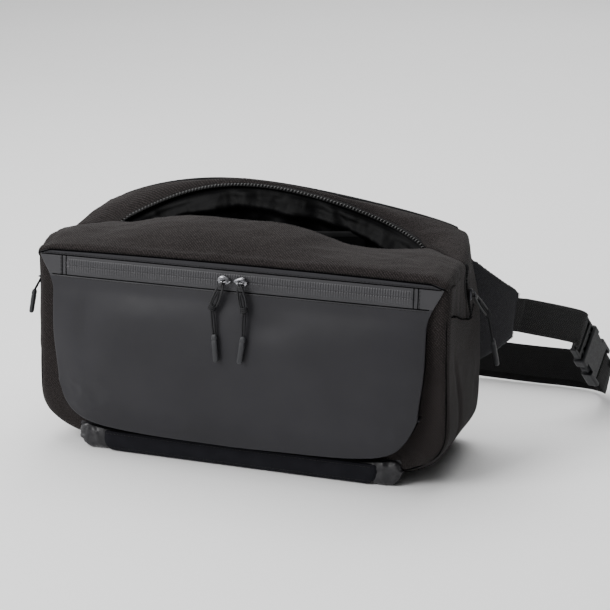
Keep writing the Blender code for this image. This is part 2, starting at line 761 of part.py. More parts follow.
BELT_BACK_Y = 0.2257
BELT_CENTRE_Z = 0.0153
KEEPER_CENTRE_Z = 0.0166
BELT_ROUTE = [
    # place of the belt's middle, then the direction of its width
    ((0.2668, 0.1886, 0.0278), (0.157, 0.700, 0.700)),
    ((0.2672, 0.2030, 0.0212), (0.100, 0.420, 0.900)),
    ((0.2600, 0.2172, 0.0172), (0.030, 0.150, 0.980)),
    ((0.2470, 0.2240, 0.0156), (0.0, 0.030, 1.0)),
    ((0.2280, BELT_BACK_Y, BELT_CENTRE_Z), (0.0, 0.0, 1.0)),
    ((0.1900, BELT_BACK_Y, BELT_CENTRE_Z), (0.0, 0.0, 1.0)),
    ((0.1200, BELT_BACK_Y, KEEPER_CENTRE_Z), (0.0, 0.0, 1.0)),
    ((0.0500, BELT_BACK_Y, KEEPER_CENTRE_Z), (0.0, 0.0, 1.0)),
    ((-0.0300, BELT_BACK_Y, BELT_CENTRE_Z), (0.0, 0.0, 1.0)),
    ((-0.1100, BELT_BACK_Y, BELT_CENTRE_Z), (0.0, 0.0, 1.0)),
    ((-0.1700, BELT_BACK_Y, BELT_CENTRE_Z), (0.0, 0.0, 1.0)),
    ((-0.1920, 0.2225, BELT_CENTRE_Z), (0.0, 0.0, 1.0)),
    ((-0.2060, 0.2100, 0.0175), (-0.03, -0.15, 0.98)),
    ((-0.2125, 0.1900, 0.0270), (-0.02, 0.20, 0.97)),
    ((-0.2130, 0.1660, 0.0460), (0.0, 0.35, 0.93)),
    ((-0.2100, 0.1430, 0.0680), (-0.05, 0.30, 0.95)),
    ((-0.2055, 0.1200, 0.0880), (-0.10, 0.12, 0.98)),
]
TAIL_SHIFT = 0.008
KEEPER_X = 0.085
KEEPER_HALF = 0.006
KEEPER_WALL = 0.0010
TAIL_POINTS = 7


def make_left_webbing(mats):
    """The long adjustable side: left wing, round behind, over the female half's bar and back."""
    place = buckle_frame()
    rotation = place.to_3x3()
    across_end = rotation @ Vector((0, 1, 0))
    layer = STRAP_OFFSET
    over, through = FEMALE_BAR + 0.0004, FEMALE_BAR - WRAP_CLEAR
    wrap = [place @ Vector(p) for p in
            ((FEMALE_END + 0.004, 0, -layer), (over, 0, -layer), (through, 0, -WRAP_CLEAR),
             (through, 0, WRAP_CLEAR), (over, 0, layer), (FEMALE_END + 0.004, 0, layer))]
    places = [Vector(p) for p, _ in BELT_ROUTE]
    widths = [Vector(w).normalized() for _, w in BELT_ROUTE]
    wing_end = mirrored(WING_END, -1)
    leave = wing_end - mirrored((WING_ROOT_LOW + WING_ROOT_HIGH) / 2, -1)
    places.append(wing_end + leave.normalized() * WING_CLEAR)
    widths.append(mirrored(WING_END_ACROSS, -1))
    steps = 3
    centre = catmull(places, steps)
    width = [w.normalized() for w in catmull(widths, steps)]

    def offset(index, distance, rise):
        """Step the belt's middle line sideways by distance and along its width by rise."""
        tangent = (centre[min(index + 1, len(centre) - 1)] - centre[max(index - 1, 0)]).normalized()
        side = (width[index] - tangent * width[index].dot(tangent)).normalized()
        return centre[index] + tangent.cross(side) * distance + side * rise

    tail_count = TAIL_POINTS * steps
    tail, tail_across = [], []
    for index in range(tail_count, -1, -1):
        near_buckle = 1 - smooth_step(index / (4 * steps))
        tail.append(offset(index, -PLY_OFFSET - (STRAP_OFFSET - PLY_OFFSET) * near_buckle,
                           TAIL_SHIFT * (1 - near_buckle)))
        tail_across.append(width[index])
    main, main_across = [], []
    for index in range(len(centre)):
        near_buckle = 1 - smooth_step(index / (4 * steps))
        near_wing = smooth_step((index - len(centre) + 7) / 6)
        distance = PLY_OFFSET + (STRAP_OFFSET - PLY_OFFSET) * near_buckle
        main.append(offset(index, distance * (1 - near_wing), 0.0))
        main_across.append(width[index])
    path = tail + wrap + main
    across = tail_across + [across_end] * len(wrap) + main_across
    strip("webbing_left", path, across, WEBBING_WIDTH, WEBBING, mats["webbing"])

    keeper = Vector((KEEPER_X, BELT_BACK_Y, 0.0))
    low = Vector((-KEEPER_HALF, -0.0046, 0.0002))
    high = Vector((KEEPER_HALF, 0.0048, KEEPER_CENTRE_Z + WEBBING_WIDTH / 2 + TAIL_SHIFT + 0.0014))
    wall_thickness = Vector((-0.01, KEEPER_WALL, KEEPER_WALL))
    shell = finish("webbing_keeper", box_data(keeper + low, keeper + high), mats["webbing"],
                   smooth=False)
    hole = finish("webbing_keeper_hole",
                  box_data(keeper + low + wall_thickness, keeper + high - wall_thickness),
                  mats["webbing"], smooth=False)
    combine(shell, [hole], "DIFFERENCE")


def buckle_block(name, low, high, mats, bevel=0.0, origin=None):
    """A block in the buckle's frame: X from the male half's bar to the belt, Y across the strap."""
    return finish(name, box_data(low, high, buckle_frame(), bevel), mats["plastic"], origin=origin,
                  smooth=False)


def make_male_half(mats):
    wide, thick = MALE_HALF_WIDTH, MALE_HALF_THICKNESS
    male = buckle_block("buckle_male", (0.0, -wide, -thick), (MALE_LENGTH, wide, thick), mats, 0.0010)
    guide = buckle_block("guide", (0.0120, -GUIDE_HALF_WIDTH, -GUIDE_HALF_THICKNESS),
                         (0.0420, GUIDE_HALF_WIDTH, GUIDE_HALF_THICKNESS), mats, 0.0006)
    combine(male, [guide], "UNION")
    bar_end = MALE_BAR + 0.001
    cutters = [((MALE_BAR, -SLOT_HALF, -THROUGH), (SLOT_END, SLOT_HALF, THROUGH)),
               ((-THROUGH, -SLOT_HALF, -THROUGH), (bar_end, SLOT_HALF, -BAR_HALF)),
               ((-THROUGH, -SLOT_HALF, BAR_HALF), (bar_end, SLOT_HALF, THROUGH)),
               ((0.0128, 0.0062, -THROUGH), (THROUGH, SLOT_HALF, THROUGH)),
               ((0.0128, -SLOT_HALF, -THROUGH), (THROUGH, -0.0062, THROUGH))]
    combine(male, [buckle_block(f"cut_{k}", low, high, mats) for k, (low, high) in enumerate(cutters)],
            "DIFFERENCE")


def make_female_half(mats):
    half, thick = BUCKLE_HALF_WIDTH, BUCKLE_HALF_THICKNESS
    female = buckle_block("buckle_female", (FEMALE_MOUTH, -half, -thick), (FEMALE_END, half, thick),
                          mats, 0.0018, BUCKLE_ORIGIN)
    cavity_half, cavity_thick = FEMALE_CAVITY
    bar_side = FEMALE_BAR - 0.001
    past_end = FEMALE_END + 0.01
    cutters = [((FEMALE_MOUTH - 0.01, -cavity_half, -cavity_thick), (0.0470, cavity_half, cavity_thick)),
               ((0.0505, -SLOT_HALF, -THROUGH), (FEMALE_BAR, SLOT_HALF, THROUGH)),
               ((bar_side, -SLOT_HALF, BAR_HALF), (past_end, SLOT_HALF, THROUGH)),
               ((bar_side, -SLOT_HALF, -THROUGH), (past_end, SLOT_HALF, -BAR_HALF))]
    for sign in (-1, 1):
        inner, outer = sorted((sign * 0.0150, sign * (half + 0.01)))
        cutters.append(((SIDE_WINDOW[0], inner, -THROUGH), (SIDE_WINDOW[1], outer, THROUGH)))
    combine(female, [buckle_block(f"cut_{k}", low, high, mats) for k, (low, high) in enumerate(cutters)],
            "DIFFERENCE")


def make_latch_prongs(mats):
    place = buckle_frame()
    outline = [(0.0132, 0.0086), (0.0200, 0.0100), (0.0290, 0.0110), (0.0380, 0.0100),
               (0.0398, 0.0122), (0.0392, 0.0160), (0.0375, 0.0182), (0.0330, 0.0188),
               (0.0295, 0.0182), (0.0282, 0.0162), (0.0280, 0.0138), (0.0200, 0.0126),
               (0.0132, 0.0112)]
    for side, sign in (("upper", 1), ("lower", -1)):
        shaped = [(x, sign * y) for x, y in outline][::sign]
        origin = place @ Vector((LATCH_ROOT[0], sign * LATCH_ROOT[1], 0))
        finish(f"latch_prong_{side}", extrude(shaped, LATCH_THICKNESS, place), mats["plastic"],
               origin=origin, smooth=False)


def make_materials():
    return {
        "twill": material("heather twill", (0.040, 0.034, 0.033), 0.85),
        "coated": material("coated cloth", (0.048, 0.047, 0.051), 0.50),
        "band": material("black band", (0.010, 0.011, 0.013), 0.80),
        "foam": material("foam", (0.030, 0.030, 0.032), 0.95),
        "mesh": material("spacer mesh", (0.018, 0.018, 0.019), 0.92),
        "lining": material("lining", (0.014, 0.014, 0.016), 0.45),
        "tape": material("zip tape", (0.026, 0.026, 0.028), 0.70),
        "webbing": material("webbing", (0.014, 0.014, 0.015), 0.75),
        "plastic": material("acetal", (0.030, 0.031, 0.035), 0.42),
        "rubber": material("rubber", (0.030, 0.031, 0.034), 0.55),
        "gunmetal": material("gunmetal", (0.16, 0.16, 0.17), 0.25, 1.0),
    }


def main():
    clear_scene()
    mats = make_materials()
    make_body(mats)
    make_lining(mats)
    make_zips(mats)
    make_pocket(mats)
    make_wings(mats)
    make_right_webbing(mats)
    make_left_webbing(mats)
    make_male_half(mats)
    make_female_half(mats)
    make_latch_prongs(mats)


main()
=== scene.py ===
"""Looks of the waist bag: cloth skins, zips, stitching, belt and materials on the frame."""

import math

import bmesh
import bpy
from mathutils import Matrix, Vector, noise
from mathutils.bvhtree import BVHTree


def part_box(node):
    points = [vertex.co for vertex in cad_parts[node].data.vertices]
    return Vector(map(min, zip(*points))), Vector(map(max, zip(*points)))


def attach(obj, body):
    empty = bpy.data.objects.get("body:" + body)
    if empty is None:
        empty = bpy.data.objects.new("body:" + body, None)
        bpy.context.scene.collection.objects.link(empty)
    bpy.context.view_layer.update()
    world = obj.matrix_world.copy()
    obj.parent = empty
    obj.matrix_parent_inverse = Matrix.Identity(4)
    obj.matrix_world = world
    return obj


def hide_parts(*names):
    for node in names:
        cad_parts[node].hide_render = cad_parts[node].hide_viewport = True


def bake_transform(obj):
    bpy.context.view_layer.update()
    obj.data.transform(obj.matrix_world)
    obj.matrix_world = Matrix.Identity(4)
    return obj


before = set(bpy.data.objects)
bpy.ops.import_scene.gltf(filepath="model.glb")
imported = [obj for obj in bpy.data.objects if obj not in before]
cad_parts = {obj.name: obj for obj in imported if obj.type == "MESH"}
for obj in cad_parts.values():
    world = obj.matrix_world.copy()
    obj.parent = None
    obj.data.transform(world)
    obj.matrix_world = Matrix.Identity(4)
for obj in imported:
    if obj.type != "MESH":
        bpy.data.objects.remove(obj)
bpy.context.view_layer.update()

# Sizes of the bag in metres, the same as the model's
HALF_WIDTH = 0.175
FRONT_Y = -0.062
BACK_Y = 0.062
FRONT_HEIGHT = 0.172
MOUTH_HALF = 0.137
MOUTH_END_Z = 0.1765
TOP_HALF = 0.1715
POCKET_HALF_TOP = 0.173
POCKET_HALF_MID = 0.1595
POCKET_HALF_LOW = 0.1555
POCKET_BOTTOM = 0.0188
ZIP_TOP = 0.1655
ZIP_LOW = 0.149
ZIP_MIDDLE = (ZIP_LOW + ZIP_TOP) / 2
ZIP_HALF = 0.151
CORNER_WIDTH = 0.044
CORNER_HEIGHT = 0.048
CORNER_TIGHTER = 0.010
SIDE_TAPER = 0.24
TAPER_FROM = 0.118
BACK_TOP_HALF = 0.157
SKIN_TOP = 0.166
OUTLINE_LENGTH = (2 * (SKIN_TOP - CORNER_HEIGHT) + math.pi * (CORNER_WIDTH + CORNER_HEIGHT) / 2
                  + 2 * (HALF_WIDTH - CORNER_WIDTH))


# ---------------------------------------------------------------- small helpers

def smooth_step(value):
    value = max(0.0, min(1.0, value))
    return value * value * (3.0 - 2.0 * value)


def bell(value, centre, width):
    return math.exp(-((value - centre) / width) ** 2)


def wave(x, y, z=0.0, seed=0.0):
    return noise.noise(Vector((x, y, z + seed * 7.31)))


def crumple(x, y, seed, octaves=3):
    """Sharp-ridged cloth wrinkles between -1 and 1."""
    total, size, share = 0.0, 1.0, 1.0
    for k in range(octaves):
        total += share * (1 - 2 * abs(wave(x * size, y * size, 0.3 * k, seed + k)) * 1.6)
        size *= 2.0
        share *= 0.5
    return total / 1.75


def catmull(points, steps):
    points = [Vector(point) for point in points]
    padded = [2 * points[0] - points[1], *points, 2 * points[-1] - points[-2]]
    curve = []
    for before, start, end, after in zip(padded, padded[1:], padded[2:], padded[3:]):
        for step in range(steps):
            t = step / steps
            curve.append(0.5 * (2 * start + (end - before) * t
                                + (2 * before - 5 * start + 4 * end - after) * t ** 2
                                + (3 * start - before - 3 * end + after) * t ** 3))
    curve.append(points[-1])
    return curve


def mirrored(vector, sign):
    return Vector((sign * vector.x, vector.y, vector.z))


def frame_at(place, x_axis, y_axis):
    x_axis = Vector(x_axis).normalized()
    y_axis = Vector(y_axis)
    y_axis = (y_axis - x_axis * y_axis.dot(x_axis)).normalized()
    matrix = Matrix((x_axis, y_axis, x_axis.cross(y_axis))).transposed().to_4x4()
    matrix.translation = place
    return matrix


# ---------------------------------------------------------------- materials

class Nodes:
    """Short names for building one material's node tree."""

    def __init__(self, name, base, roughness, metallic=0.0, sheen=0.0, specular=0.5):
        self.material = bpy.data.materials.new(name)
        self.material.use_nodes = True
        self.tree = self.material.node_tree
        self.shader = self.tree.nodes["Principled BSDF"]
        self.set("Base Color", (*base, 1.0))
        self.set("Roughness", roughness)
        self.set("Metallic", metallic)
        self.set("Specular IOR Level", specular)
        if sheen:
            self.set("Sheen Weight", sheen)
            self.set("Sheen Roughness", 0.45)

    def set(self, socket, value):
        self.shader.inputs[socket].default_value = value

    def add(self, kind, **values):
        """A new node, with values for its own settings or its sockets."""
        node = self.tree.nodes.new(kind)
        for key, value in values.items():
            if hasattr(node, key):
                setattr(node, key, value)
            else:
                node.inputs[key.replace("_", " ")].default_value = value
        return node

    def link(self, source, target):
        self.tree.links.new(source, target)

    def math(self, operation, first, second=0.0, clamp=False):
        node = self.add("ShaderNodeMath", operation=operation, use_clamp=clamp)
        for slot, value in ((0, first), (1, second)):
            if isinstance(value, (int, float)):
                node.inputs[slot].default_value = value
            else:
                self.link(value, node.inputs[slot])
        return node.outputs[0]

    def plus(self, first, second, clamp=False):
        return self.math("ADD", first, second, clamp)

    def times(self, first, second):
        return self.math("MULTIPLY", first, second)

    def coordinates(self, use_uv):
        node = self.add("ShaderNodeTexCoord")
        return node.outputs["UV" if use_uv else "Object"]

    def noise(self, vector, scale, detail=2.0, stretch=None):
        if stretch:
            mapping = self.add("ShaderNodeMapping", Scale=stretch)
            self.link(vector, mapping.inputs["Vector"])
            vector = mapping.outputs["Vector"]
        node = self.add("ShaderNodeTexNoise", Scale=scale, Detail=detail)
        self.link(vector, node.inputs["Vector"])
        return node.outputs["Fac"]

    def span(self, value, low, high, to_low=0.0, to_high=1.0):
        node = self.add("ShaderNodeMapRange", From_Min=low, From_Max=high, To_Min=to_low, To_Max=to_high)
        self.link(value, node.inputs["Value"])
        return node.outputs["Result"]

    def mix(self, share, first, second):
        node = self.add("ShaderNodeMix", data_type="RGBA")
        sockets = [s for s in node.inputs if s.type == "RGBA"]
        for socket, value in zip(sockets, (first, second)):
            if isinstance(value, tuple):
                socket.default_value = (*value, 1.0)
            else:
                self.link(value, socket)
        if isinstance(share, (int, float)):
            node.inputs["Factor"].default_value = share
        else:
            self.link(share, node.inputs["Factor"])
        return [s for s in node.outputs if s.type == "RGBA"][0]

    def colour(self, value):
        self.link(value, self.shader.inputs["Base Color"])

    def bump(self, height, distance, strength):
        node = self.add("ShaderNodeBump", Distance=distance, Strength=strength)
        self.link(height, node.inputs["Height"])
        self.link(node.outputs["Normal"], self.shader.inputs["Normal"])

    def roughness(self, value):
        self.link(value, self.shader.inputs["Roughness"])

    def worn(self, low, high, most):
        """Share of rubbed material, from 0 on the flats to its most on sharp edges."""
        return self.span(self.add("ShaderNodeNewGeometry").outputs["Pointiness"], low, high, 0.0, most)

    def split(self, vector):
        node = self.add("ShaderNodeSeparateXYZ")
        self.link(vector, node.inputs["Vector"])
        return node.outputs["X"], node.outputs["Y"], node.outputs["Z"]

    def ribs(self, value, pitch):
        """0 to 1 wave with the given pitch in metres along a coordinate."""
        angle = self.times(value, 2 * math.pi / pitch)
        return self.plus(self.times(self.math("SINE", angle), 0.5), 0.5)


def twill_material(name, dark, light, use_uv=True, pitch=0.0024, contrast=1.0):
    """Heathered twill: dark and light yarns, a diagonal rib and a little fluff."""
    made = Nodes(name, dark, 0.92, sheen=0.05, specular=0.12)
    place = made.coordinates(use_uv)
    x, y, z = made.split(place)
    first, second = (x, y) if use_uv else (made.plus(x, made.times(y, 0.6)), z)
    warp = made.noise(place, 1.0, 2.0, (1750, 560, 1200))
    weft = made.noise(place, 1.0, 2.0, (560, 1750, 1750))
    yarn = made.plus(warp, weft)
    heather = made.span(yarn, 1.0 - 0.13 / contrast, 1.0 + 0.16 / contrast)
    wobble = made.times(made.noise(place, 260.0, 1.0), 0.0016)
    rib = made.ribs(made.plus(made.plus(first, second), wobble), pitch)
    cloud = made.noise(place, 22.0, 2.0)
    share = made.times(heather, made.plus(made.times(rib, 1.05), 0.10))
    share = made.plus(share, made.times(made.span(cloud, 0.3, 0.7, -1, 1), 0.06), True)
    made.colour(made.mix(share, dark, light))
    fine = made.noise(place, 2600.0, 2.0)
    height = made.plus(made.times(rib, 0.6), made.times(heather, 0.4))
    made.bump(made.plus(height, made.times(fine, 0.25)), 0.00040, 0.9)
    return made.material


def coated_material(name, base, light, rough=0.50, specular=0.26, ribbed=False):
    """Smooth polyurethane-coated cloth: fine grain, rubbed edges, and the coil's ribs on the zip, as
    bumps with painted shade between them.
    """
    made = Nodes(name, base, rough, specular=specular)
    place = made.coordinates(False)
    cloud = made.noise(place, 13.0, 3.0)
    wear = made.worn(0.515, 0.56, 0.55)
    share = made.plus(made.span(cloud, 0.35, 0.65, 0.0, 0.25), wear, True)
    made.roughness(made.span(made.noise(place, 40.0, 4.0), 0.3, 0.7, rough - 0.05, rough + 0.07))
    grain = made.noise(place, 2100.0, 3.0)
    dents = made.noise(place, 260.0, 2.0)
    height = made.times(made.plus(grain, made.times(dents, 0.5)), 0.10)
    if ribbed:
        x, _, z = made.split(place)
        reach = made.math("DIVIDE", made.math("ABSOLUTE", made.math("SUBTRACT", z, ZIP_MIDDLE)), 0.0056)
        mask = made.math("SUBTRACT", 1.0, made.math("POWER", reach, 6.0), True)
        between_ends = made.math("LESS_THAN", made.math("ABSOLUTE", x), ZIP_HALF - 0.006)
        mask = made.times(mask, between_ends)
        rib = made.times(made.ribs(x, 0.0021), mask)
        height = made.plus(height, rib)
        # Colour darker between the coil's ribs and lighter on them: painted shade and light of the ribs.
        share = made.times(share, made.plus(made.times(rib, 0.6), 0.4))
    made.colour(made.mix(share, base, light))
    made.bump(height, 0.0005, 0.6)
    return made.material


HERRINGBONE = 0.0022


def webbing_material(name, dark, light):
    """Herringbone webbing: rows of slanted ribs that change direction every row."""
    made = Nodes(name, dark, 0.78, sheen=0.04, specular=0.18)
    place = made.coordinates(True)
    along, across, _ = made.split(place)
    row = made.math("PINGPONG", across, HERRINGBONE)
    slant = made.plus(along, made.times(row, 1.1))
    rib = made.ribs(slant, HERRINGBONE)
    groove = made.ribs(across, HERRINGBONE)
    speck = made.noise(place, 900.0, 2.0)
    share = made.times(rib, made.span(speck, 0.35, 0.65, 0.15, 1.0))
    made.colour(made.mix(share, dark, light))
    height = made.plus(rib, made.times(groove, 0.25))
    made.bump(height, 0.00040, 0.9)
    return made.material


def plain_cloth(name, dark, light, rough, weave=0.0009, bump=0.00012, specular=0.15):
    """Plain weave from two crossed waves, with slow shade changes."""
    made = Nodes(name, dark, rough, specular=specular)
    place = made.coordinates(True)
    x, y, _ = made.split(place)
    threads = made.times(made.ribs(x, weave), made.ribs(y, weave))
    cloud = made.noise(place, 60.0, 3.0)
    share = made.plus(made.times(threads, 0.5), made.span(cloud, 0.35, 0.65, 0.0, 0.5), True)
    made.colour(made.mix(share, dark, light))
    made.bump(threads, bump, 0.6)
    return made.material


def mesh_cloth(name, dark, light):
    """Spacer mesh: rows of small open cells."""
    made = Nodes(name, dark, 0.85, sheen=0.05, specular=0.15)
    place = made.coordinates(True)
    cells = made.add("ShaderNodeTexVoronoi", Scale=420.0, Randomness=0.15)
    made.link(place, cells.inputs["Vector"])
    ring = made.span(cells.outputs["Distance"], 0.15, 0.5)
    made.colour(made.mix(ring, dark, light))
    made.bump(ring, 0.0004, 0.9)
    return made.material


def moulded(name, base, light, rough, specular=0.32):
    """Moulded plastic or rubber with a fine spark texture and lighter rubbed edges."""
    made = Nodes(name, base, rough, specular=specular)
    place = made.coordinates(False)
    wear = made.worn(0.52, 0.60, 0.7)
    cloud = made.span(made.noise(place, 90.0, 3.0), 0.3, 0.7, 0.0, 0.3)
    made.colour(made.mix(made.plus(wear, cloud, True), base, light))
    made.bump(made.noise(place, 1700.0, 2.0), 0.00004, 0.7)
    made.roughness(made.span(made.noise(place, 500.0, 2.0), 0.3, 0.7, rough - 0.06, rough + 0.06))
    return made.material


def metal_material(name, base, light, rough):
    """Plated metal with faint handling scratches and brighter worn edges."""
    made = Nodes(name, base, rough, metallic=1.0)
    place = made.coordinates(False)
    wear = made.worn(0.51, 0.58, 0.8)
    made.colour(made.mix(wear, base, light))
    made.roughness(made.span(made.noise(place, 700.0, 3.0), 0.3, 0.7, rough - 0.06, rough + 0.10))
    made.bump(made.noise(place, 2500.0, 2.0), 0.00001, 0.3)
    return made.material


TWILL = twill_material("heather_twill", (0.0088, 0.0073, 0.0072), (0.040, 0.0335, 0.0325))
TWILL_WING = twill_material("wing_twill", (0.021, 0.0208, 0.0230), (0.052, 0.0515, 0.056),
                            use_uv=False, pitch=0.0018, contrast=0.7)
COATED = coated_material("coated_cloth", (0.0130, 0.0126, 0.0152), (0.027, 0.0265, 0.031))
COATED_BASE = coated_material("coated_base_cloth", (0.0100, 0.0097, 0.0115),
                              (0.024, 0.0232, 0.026), 0.36, 0.42)
COATED_ZIP = coated_material("coated_zip_cloth", (0.022, 0.0215, 0.0245),
                             (0.056, 0.055, 0.060), 0.44, 0.40, ribbed=True)
BAND = plain_cloth("black_band", (0.0048, 0.0048, 0.0068), (0.0100, 0.0100, 0.0135), 0.85)
# Near-black cloth for thin lines at seams, grooves and gaps: partly dark seam lines, partly painted shade
# of the grooves and gaps.
GAP = plain_cloth("seam_line_and_painted_shade", (0.0009, 0.0009, 0.0011), (0.0018, 0.0018, 0.0022), 0.95,
                  specular=0.04)
# Very dark lining colour, kept low so the opening reads dark: the lining's own dark colour with painted
# shade of the bag's inside.
LINING = plain_cloth("satin_lining", (0.0008, 0.0008, 0.0010), (0.0024, 0.0024, 0.0028), 0.55,
                     0.0006, 0.00004, specular=0.09)
TAPE = plain_cloth("zip_tape", (0.0045, 0.0045, 0.0047), (0.012, 0.0116, 0.012), 0.8,
                   0.0012, 0.0002)
MESH = mesh_cloth("spacer_mesh", (0.0035, 0.0035, 0.004), (0.015, 0.015, 0.0158))
WEB = webbing_material("herringbone_webbing", (0.0050, 0.0050, 0.0051), (0.050, 0.050, 0.0506))
# A much darker copy of the webbing for the strap round the back: the webbing's dark colour with painted
# shade where the strap runs behind the bag.
WEB_DARK_AND_SHADED = webbing_material("dark_webbing_with_painted_shade", (0.0010, 0.0010, 0.0011), (0.0110, 0.0110, 0.0114))
WEB_BINDING = plain_cloth("grosgrain_binding", (0.0035, 0.0035, 0.0038), (0.010, 0.010, 0.0106),
                          0.75, 0.0011)
THREAD = moulded("sewing_thread", (0.0045, 0.0043, 0.0045), (0.012, 0.0115, 0.012), 0.75)
COIL = moulded("nylon_coil", (0.022, 0.0215, 0.022), (0.060, 0.060, 0.060), 0.45)
CORD = plain_cloth("braided_cord", (0.007, 0.007, 0.0078), (0.024, 0.024, 0.026), 0.65,
                   0.0008, 0.0002)
RUBBER = moulded("pull_rubber", (0.015, 0.0155, 0.0175), (0.034, 0.035, 0.039), 0.5)
PLASTIC = moulded("moulded_acetal", (0.0050, 0.0053, 0.0062), (0.016, 0.0165, 0.0185), 0.5,
                  specular=0.16)
GUNMETAL = metal_material("gunmetal", (0.13, 0.13, 0.14), (0.50, 0.50, 0.52), 0.22)
WIRE = moulded("coated_wire", (0.0045, 0.0045, 0.0052), (0.020, 0.020, 0.0220), 0.38)
DARK_METAL = metal_material("dark_gunmetal", (0.013, 0.013, 0.015), (0.08, 0.08, 0.088), 0.38)


# ---------------------------------------------------------------- mesh builders

def new_piece(name, mesh_data, materials, body, slot, nodes=()):
    mesh = bpy.data.meshes.new(name)
    mesh_data.to_mesh(mesh)
    mesh_data.free()
    mesh.shade_smooth()
    made = bpy.data.objects.new(name, mesh)
    for one in materials if isinstance(materials, list) else [materials]:
        mesh.materials.append(one)
    bpy.context.collection.objects.link(made)
    if body:
        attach(made, body)
    if nodes:
        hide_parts(*nodes)
    return made


def rounded_piece(name, data, *rest):
    """A new piece whose faces all point outward."""
    bmesh.ops.recalc_face_normals(data, faces=data.faces)
    return new_piece(name, data, *rest)


def grid_points(surface, us, vs, shift=None):
    """Rows of points, pushed along their normals by shift(u, v, point) where it is given."""
    points = [[Vector(surface(u, v)) for v in vs] for u in us]
    if shift is None:
        return points
    last_u, last_v = len(us) - 1, len(vs) - 1
    moved = []
    for i, u in enumerate(us):
        row = []
        for j, v in enumerate(vs):
            along = points[min(i + 1, last_u)][j] - points[max(i - 1, 0)][j]
            across = points[i][min(j + 1, last_v)] - points[i][max(j - 1, 0)]
            normal = along.cross(across)
            if normal.length > 1e-12:
                normal.normalize()
            row.append(points[i][j] + normal * shift(u, v, points[i][j]))
        moved.append(row)
    return moved


def grid_mesh(points, flip=False, material_at=None):
    """A bmesh of the grid, with UVs in metres measured along it."""
    data = bmesh.new()
    layer = data.loops.layers.uv.new("UVMap")
    vertices = [[data.verts.new(p) for p in row] for row in points]
    middle = len(points[0]) // 2
    along = [0.0]
    for i in range(1, len(points)):
        along.append(along[-1] + (points[i][middle] - points[i - 1][middle]).length)
    across = []
    for row in points:
        lengths = [0.0]
        for before, after in zip(row, row[1:]):
            lengths.append(lengths[-1] + (after - before).length)
        across.append(lengths)
    for i in range(len(points) - 1):
        for j in range(len(points[0]) - 1):
            corners = [(i, j), (i + 1, j), (i + 1, j + 1), (i, j + 1)]
            if flip:
                corners.reverse()
            face = data.faces.new([vertices[a][b] for a, b in corners])
            for loop, (a, b) in zip(face.loops, corners):
                loop[layer].uv = (along[a], across[a][b])
            if material_at:
                face.material_index = material_at(i, j)
    return data


def spaced(count, low=0.0, high=1.0):
    return [low + (high - low) * k / count for k in range(count + 1)]


def thick(made, amount, offset=-1.0):
    modifier = made.modifiers.new("Thickness", "SOLIDIFY")
    modifier.thickness = amount
    modifier.offset = offset
    modifier.use_rim = True


def circle(count):
    """Cosine and sine at even steps round a circle."""
    return [(math.cos(2 * math.pi * k / count), math.sin(2 * math.pi * k / count))
            for k in range(count)]


def bridge(data, rings, closed=False):
    """Faces between rings of vertices, with a cap on each end unless the last meets the first."""
    count = len(rings[0])
    pairs = list(zip(rings, rings[1:])) + ([(rings[-1], rings[0])] if closed else [])
    for ring, following in pairs:
        for k in range(count):
            m = (k + 1) % count
            data.faces.new((ring[k], ring[m], following[m], following[k]))
    if not closed:
        data.faces.new(rings[0][::-1])
        data.faces.new(rings[-1])


def ribbon(name, path, across, width, thickness, material, body, nodes, segments, slot="webbing"):
    """A flat band along a path, with rounded edges. UVs run along and across it in metres."""
    data = bmesh.new()
    layer = data.loops.layers.uv.new("UVMap")
    half, edge = width / 2, thickness / 2
    upper = [(share * (half - edge * 0.4), edge * (1 if abs(share) < 1 else 0.55))
             for share in spaced(segments, -1.0, 1.0)]
    ring_shape = upper + [(half, 0.0)] + [(x, -y) for x, y in upper[::-1]] + [(-half, 0.0)]
    rings, distance = [], [0.0]
    for index, point in enumerate(path):
        tangent = path[min(index + 1, len(path) - 1)] - path[max(index - 1, 0)]
        tangent.normalize()
        side = across[index] - tangent * across[index].dot(tangent)
        side.normalize()
        normal = tangent.cross(side)
        rings.append([data.verts.new(point + side * a + normal * b) for a, b in ring_shape])
        if index:
            distance.append(distance[-1] + (point - path[index - 1]).length)
    count = len(ring_shape)
    for i in range(len(rings) - 1):
        for k in range(count):
            m = (k + 1) % count
            face = data.faces.new((rings[i][k], rings[i][m], rings[i + 1][m], rings[i + 1][k]))
            places = ((i, k), (i, m), (i + 1, m), (i + 1, k))
            for loop, (a, b) in zip(face.loops, places):
                loop[layer].uv = (distance[a], ring_shape[b][0])
    data.faces.new(rings[0][::-1])
    data.faces.new(rings[-1])
    return rounded_piece(name, data, material, body, slot, nodes)


def tube_into(data, path, radius, section=8, closed=False):
    """Add a round tube along a path to a bmesh. The radius may depend on the share of the way."""
    rings = []
    count = len(path)
    side = None
    for index, point in enumerate(path):
        ahead = path[(index + 1) % count] if closed else path[min(index + 1, count - 1)]
        behind = path[index - 1] if closed else path[max(index - 1, 0)]
        tangent = (ahead - behind).normalized()
        side = side or tangent.orthogonal()
        side = (side - tangent * side.dot(tangent)).normalized()
        normal = tangent.cross(side)
        size = radius(index / max(1, count - 1)) if callable(radius) else radius
        rings.append([data.verts.new(point + (side * c + normal * s) * size)
                      for c, s in circle(section)])
    bridge(data, rings, closed)


def tubes(name, lines, material, slot, section=6, closed=False):
    """One piece on the bag made of round tubes, from pairs of a path and a radius."""
    data = bmesh.new()
    for path, radius in lines:
        tube_into(data, path, radius, section, closed)
    new_piece(name, data, material, "bag", slot)


def cloth(name, surface, counts, shift, material, slot, nodes=(), flip=False):
    """A woven piece on the bag from a surface, with its grid of points."""
    points = grid_points(surface, spaced(counts[0]), spaced(counts[1]), shift)
    return new_piece(name, grid_mesh(points, flip), material, "bag", slot, nodes), points


